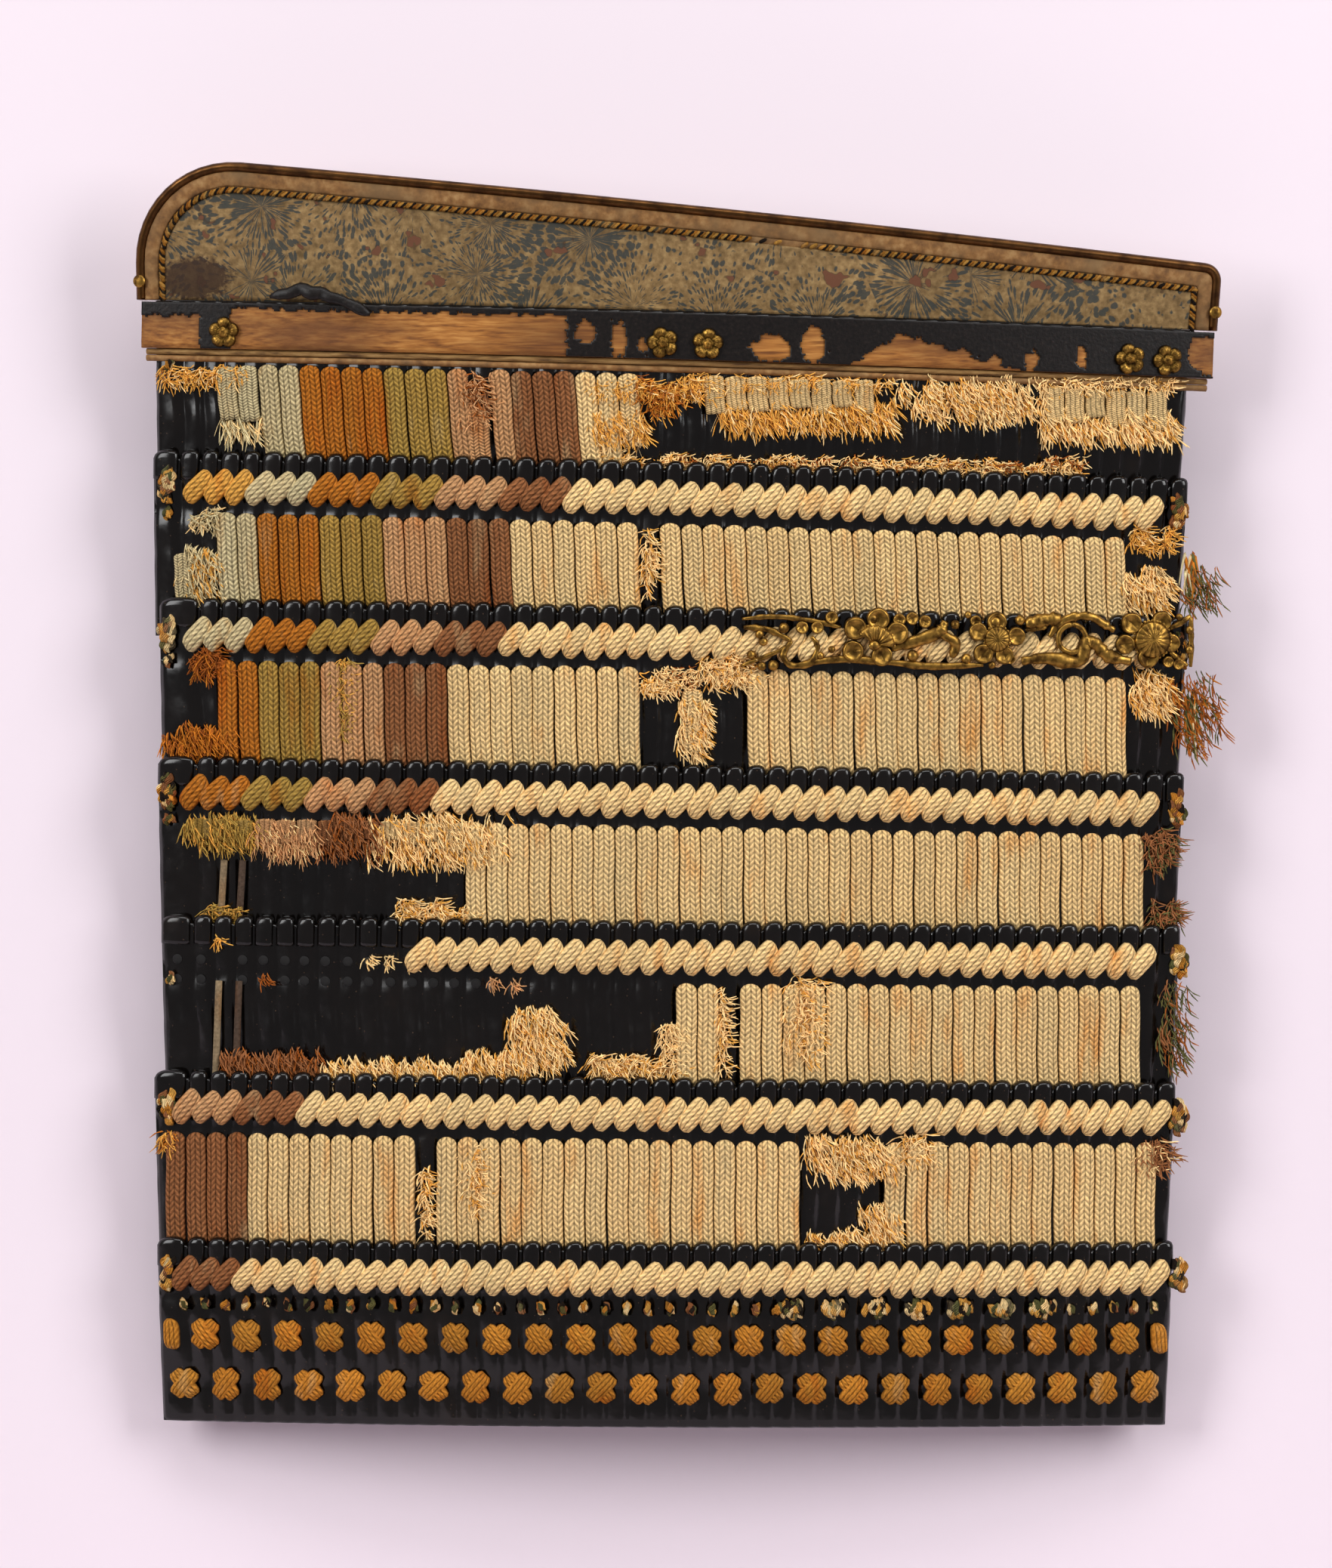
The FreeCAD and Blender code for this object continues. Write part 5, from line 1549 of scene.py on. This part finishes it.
# Frayed yarn at each torn end
fray = {"tornYarns": 9}


def makeFray(k):
    upper = []
    for middle, low, name, torn in tornEnds[k]:
        for n in range(fray["tornYarns"] if torn else 0):
            s = middle + rng.uniform(-0.55, 0.55) * pitch
            upper.append(spot(k, s, -low + rng.uniform(0.5, 4), rng.uniform(0.2, 1.1),
                              (rng.uniform(-0.5, 0.5), rng.uniform(-0.12, 0.02)), (1, 1, rng.uniform(2.5, 7.5)),
                              silkTint(name, 0.15)))
    if upper:
        repeated(f"tornYarn{k}", fibreShape, upper, "frayedSilk", bodyOf(k), [], seed=120 + k)


# Felted remains of worn silk, in pixels: left, right, top, bottom, colours and length of the strands in millimetres
fluff = {
    "perSquare": 2.1, "wisps": 0.35, "boardEnd": 1575, "tallZone": 36,
    1: [(210, 320, 480, 504, "golden cream", 4), (290, 348, 545, 570, "paleGreen cream", 6),
        (608, 650, 492, 560, "pinkTan rust brown", 4.5), (788, 858, 498, 524, "golden cream", 4),
        (780, 858, 545, 580, "golden cream", 5), (834, 900, 498, 547, "orange golden rust", 4.5),
        (860, 952, 496, 527, "golden cream", 4), (952, 1184, 497, 512, "golden cream", 3.5),
        (952, 1184, 528, 560, "golden cream", 6), (1184, 1386, 496, 551, "cream golden", 5),
        (1374, 1564, 496, 512, "cream golden", 3.5), (1374, 1564, 536, 572, "cream golden", 6),
        (780, 900, 594, 625, "cream golden", 3.5), (860, 1450, 602, 624, "cream golden rust", 3)],
    2: [(247, 290, 663, 694, "paleGreen cream", 4), (232, 290, 719, 786, "paleGreen golden", 5),
        (851, 870, 700, 790, "cream golden", 4), (1500, 1558, 692, 723, "golden cream", 4),
        (1484, 1558, 747, 802, "cream golden", 5), (1558, 1622, 747, 802, "moss brown rust", 6)],
    3: [(247, 299, 856, 893, "rust orange", 4.5), (210, 308, 954, 1006, "orange rust", 5),
        (443, 467, 870, 980, "olive golden", 3.5), (847, 896, 884, 915, "cream golden", 4),
        (872, 927, 882, 912, "cream rust", 3), (927, 1007, 857, 912, "cream golden", 4.5),
        (897, 940, 912, 1004, "cream golden", 5), (1496, 1558, 882, 943, "cream golden", 5),
        (1548, 1622, 888, 992, "rust moss orange", 6)],
    4: [(239, 348, 1074, 1119, "olive golden", 5), (332, 427, 1085, 1130, "pinkTan cream", 5),
        (419, 511, 1074, 1127, "brown rust", 5), (486, 674, 1074, 1141, "cream golden", 5),
        (256, 320, 1197, 1225, "olive golden", 4), (522, 635, 1189, 1217, "cream golden", 4),
        (1515, 1564, 1096, 1151, "brown moss", 4.5), (1527, 1570, 1188, 1224, "brown moss", 4.5)],
    5: [(287, 421, 1388, 1422, "brown rust", 5), (421, 702, 1399, 1422, "cream golden", 5),
        (612, 691, 1388, 1405, "cream golden", 5), (668, 753, 1332, 1416, "cream golden", 5.5),
        (780, 904, 1394, 1422, "cream golden", 4.5), (873, 904, 1354, 1388, "cream", 4),
        (949, 966, 1300, 1420, "cream golden", 4), (1041, 1089, 1288, 1406, "cream golden", 4.5),
        (1537, 1580, 1298, 1425, "moss brown rust", 6)],
    6: [(208, 230, 1500, 1523, "golden orange", 4), (612, 646, 1506, 1607, "cream golden", 4.5),
        (556, 573, 1545, 1635, "cream golden", 4), (1063, 1188, 1501, 1557, "cream golden", 5),
        (1188, 1244, 1501, 1540, "cream golden", 4.5), (1136, 1192, 1590, 1633, "cream golden", 5),
        (1065, 1192, 1622, 1647, "cream golden", 5), (1513, 1560, 1510, 1553, "brown cream", 4.5)],
}


def fluffPlaces(k, zone, order):
    x0, x1, y0, y1, names, long = zone
    names = names.split()
    made = []
    thin = fluff["wisps"] if x1 > fluff["boardEnd"] else 1.0
    for n in range(round((x1 - x0) * (y1 - y0) * photoScale ** 2 * fluff["perSquare"] * thin)):
        px = rng.uniform(x0, x1)
        py = rng.uniform(y0, y1)
        clump = noise.noise(Vector((px / 15, py / 12, order * 3.7)))
        across = 2 * (px - x0) / (x1 - x0) - 1
        upward = 2 * (py - y0) / (y1 - y0) - 1
        if y1 - y0 > fluff["tallZone"] and x1 - x0 < 4 * (y1 - y0):
            inside = 1.08 - math.hypot(across, upward) + 0.9 * clump
        else:
            ridge = noise.noise(Vector((px / 19, order * 2.9, 1.1)))
            inside = min(0.8 + upward + 1.5 * ridge, 4 * (1 - abs(across))) + 0.5 * clump
        if inside < rng.uniform(0.0, 0.3):
            continue
        point, s = onPhoto(k, px, py, rng.uniform(0.2, 1.7))
        loose = 1.5 if long < 5 else 0.7
        turn = boardTurn(k, s, rng.uniform(-loose, loose), rng.uniform(-0.5, 0.1))
        length = long * rng.uniform(0.55, 1.2)
        made.append((point, turn, (1, 1, length), silkTint(rng.choice(names[:1] * 2 + names), 0.16)))
    return made


def makeFluff(k):
    places = []
    for order, zone in enumerate(fluff[k]):
        places += fluffPlaces(k, zone, order)
    made = repeated(f"wornSilk{k}", fluffShape, places, "frayedSilk", None, [], seed=140 + k,
                    sizeJitter=0.15)
    start = onBoard(k, 0.0, -lacing["top"] - 1.0)
    end = onBoard(k, 0.0, 1.0 - boards["drops"][k])
    bodyOf(k)
    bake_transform(made)


for k in range(1, 7):
    makeFray(k)
    makeFluff(k)

# Open holes of the fifth board, where its rope lacing is gone, drawn as dark discs of painted shade, some with tufts
# left in them
holes = {
    "size": 1.6, "rows": {-8.2: 546, -14.2: 546, -20.6: 631},
    "pixels": [231, 263, 319, 347, 376, 402, 430, 460, 488, 517, 546, 574, 602, 631],
    "tufts": [(488, -14.2, "cream"), (515, -14.2, "cream"), (545, -14.2, "cream"), (347, -20.6, "rust"),
              (656, -20.6, "pinkTan"), (684, -20.6, "pinkTan"), (287, -8.2, "golden")],
}
places = []
for z, last in holes["rows"].items():
    for px in holes["pixels"]:
        if px <= last:
            places.append(spot(5, placeAt(px), z, -0.45, (), (holes["size"], 1.0, holes["size"]), white))
# Painted shade: dark discs stand in for the holes, which are not cut through the board
repeated("openHoles", domeShape, places, "darkHole", "board_5", [], seed=150)
places = []
for px, z, name in holes["tufts"]:
    for n in range(14):
        s = placeAt(px) + rng.uniform(-1.6, 1.6)
        places.append(spot(5, s, z + rng.uniform(-1.0, 2.0), rng.uniform(0.0, 0.8),
                           (rng.uniform(-1.2, 1.2), rng.uniform(-0.5, 0.0)), (1, 1, rng.uniform(2, 4)),
                           silkTint(name, 0.2)))
repeated("holeTufts", fluffShape, places, "frayedSilk", "board_5", [], seed=151)
print("frayed silk made")


# Stage: pale wall and floor, soft lamps left, right and above, a camera square to the front
stage = {
    "middle": (-1.44, -165.8), "distance": 2.4, "wide": 0.42336, "wall": 0.036, "floor": -0.52, "floorFront": -0.4,
    "white": "#ecdfe8", "floorWhite": "#cfc6cc", "fill": 0.09, "seen": 0.8, "mirrored": 0.2,
}


def flatMaterial(name, colour, oneSided):
    tree, shader, coords = newMaterial(name, roughness=0.95)
    tint = ramp(tree, noiseOn(tree, coords, 667, 1), [(0.3, colour), (0.7, colour)])
    paint(tree, shader, tint)
    if oneSided:
        clear = addNode(tree, "ShaderNodeBsdfTransparent").outputs[0]
        side = addNode(tree, "ShaderNodeNewGeometry").outputs["Backfacing"]
        mixed = addNode(tree, "ShaderNodeMixShader", {0: side, 1: shader.outputs[0], 2: clear})
        tree.links.new(mixed.outputs[0], tree.nodes["Material Output"].inputs["Surface"])
    return name


def panel(name, corners, material):
    mesh = bpy.data.meshes.new(name)
    mesh.from_pydata(corners, [], [(0, 1, 2, 3)])
    mesh.materials.append(materials[material])
    return addObject(name, mesh)


back = stage["wall"]
wall = panel("wall", [(-3, back, -2), (3, back, -2), (3, back, 2), (-3, back, 2)],
             flatMaterial("paleWall", stage["white"], True))
low = stage["floor"]
front = stage["floorFront"]  # short, so that the lacquer doesn't mirror it
floor = panel("floor", [(-3, front, low), (3, front, low), (3, 3, low), (-3, 3, low)],
              flatMaterial("paleFloor", stage["floorWhite"], False))


def lamp(name, place, size, power):
    light = bpy.data.lights.new(name, "AREA")
    light.shape = "RECTANGLE"
    light.size, light.size_y = size
    light.energy = power
    made = addObject(name, light)
    made.location = place
    made.rotation_euler = (Vector(middle) - Vector(place)).to_track_quat("-Z", "Y").to_euler()


middle = (stage["middle"][0] * mm, 0.0, stage["middle"][1] * mm)
lamp("leftLamp", (-1.5, -1.3, 0.5), (0.8, 1.4), 27)
lamp("rightLamp", (1.45, -1.2, 0.55), (0.8, 1.4), 27)
lamp("topLamp", (0.0, -0.9, 1.5), (1.6, 0.6), 16)
world = bpy.data.worlds.new("studio")
bpy.context.scene.world = world
world.use_nodes = True
background = world.node_tree.nodes["Background"]
background.inputs[0].default_value = linear("#f4eef2")
rays = addNode(world.node_tree, "ShaderNodeLightPath").outputs
straight = calc(world.node_tree, "MAXIMUM", rays["Is Camera Ray"], rays["Is Transmission Ray"])
level = calc(world.node_tree, "MULTIPLY_ADD", straight, stage["seen"], stage["fill"])
level = calc(world.node_tree, "MULTIPLY_ADD", rays["Is Glossy Ray"], stage["mirrored"], level)
world.node_tree.links.new(level, background.inputs[1])
camera = bpy.data.cameras.new("camera")
camera.sensor_fit = "HORIZONTAL"
camera.sensor_width = 36.0
camera.lens = 36.0 * stage["distance"] / stage["wide"]
eye = addObject("camera", camera)
eye.location = (middle[0], -stage["distance"], middle[2])
eye.rotation_euler = (math.pi / 2, 0, 0)
bpy.context.scene.camera = eye
bpy.context.scene.view_settings.view_transform = "Standard"
bpy.context.scene.view_settings.look = "None"

for made in items:
    bpy.data.objects.remove(made)
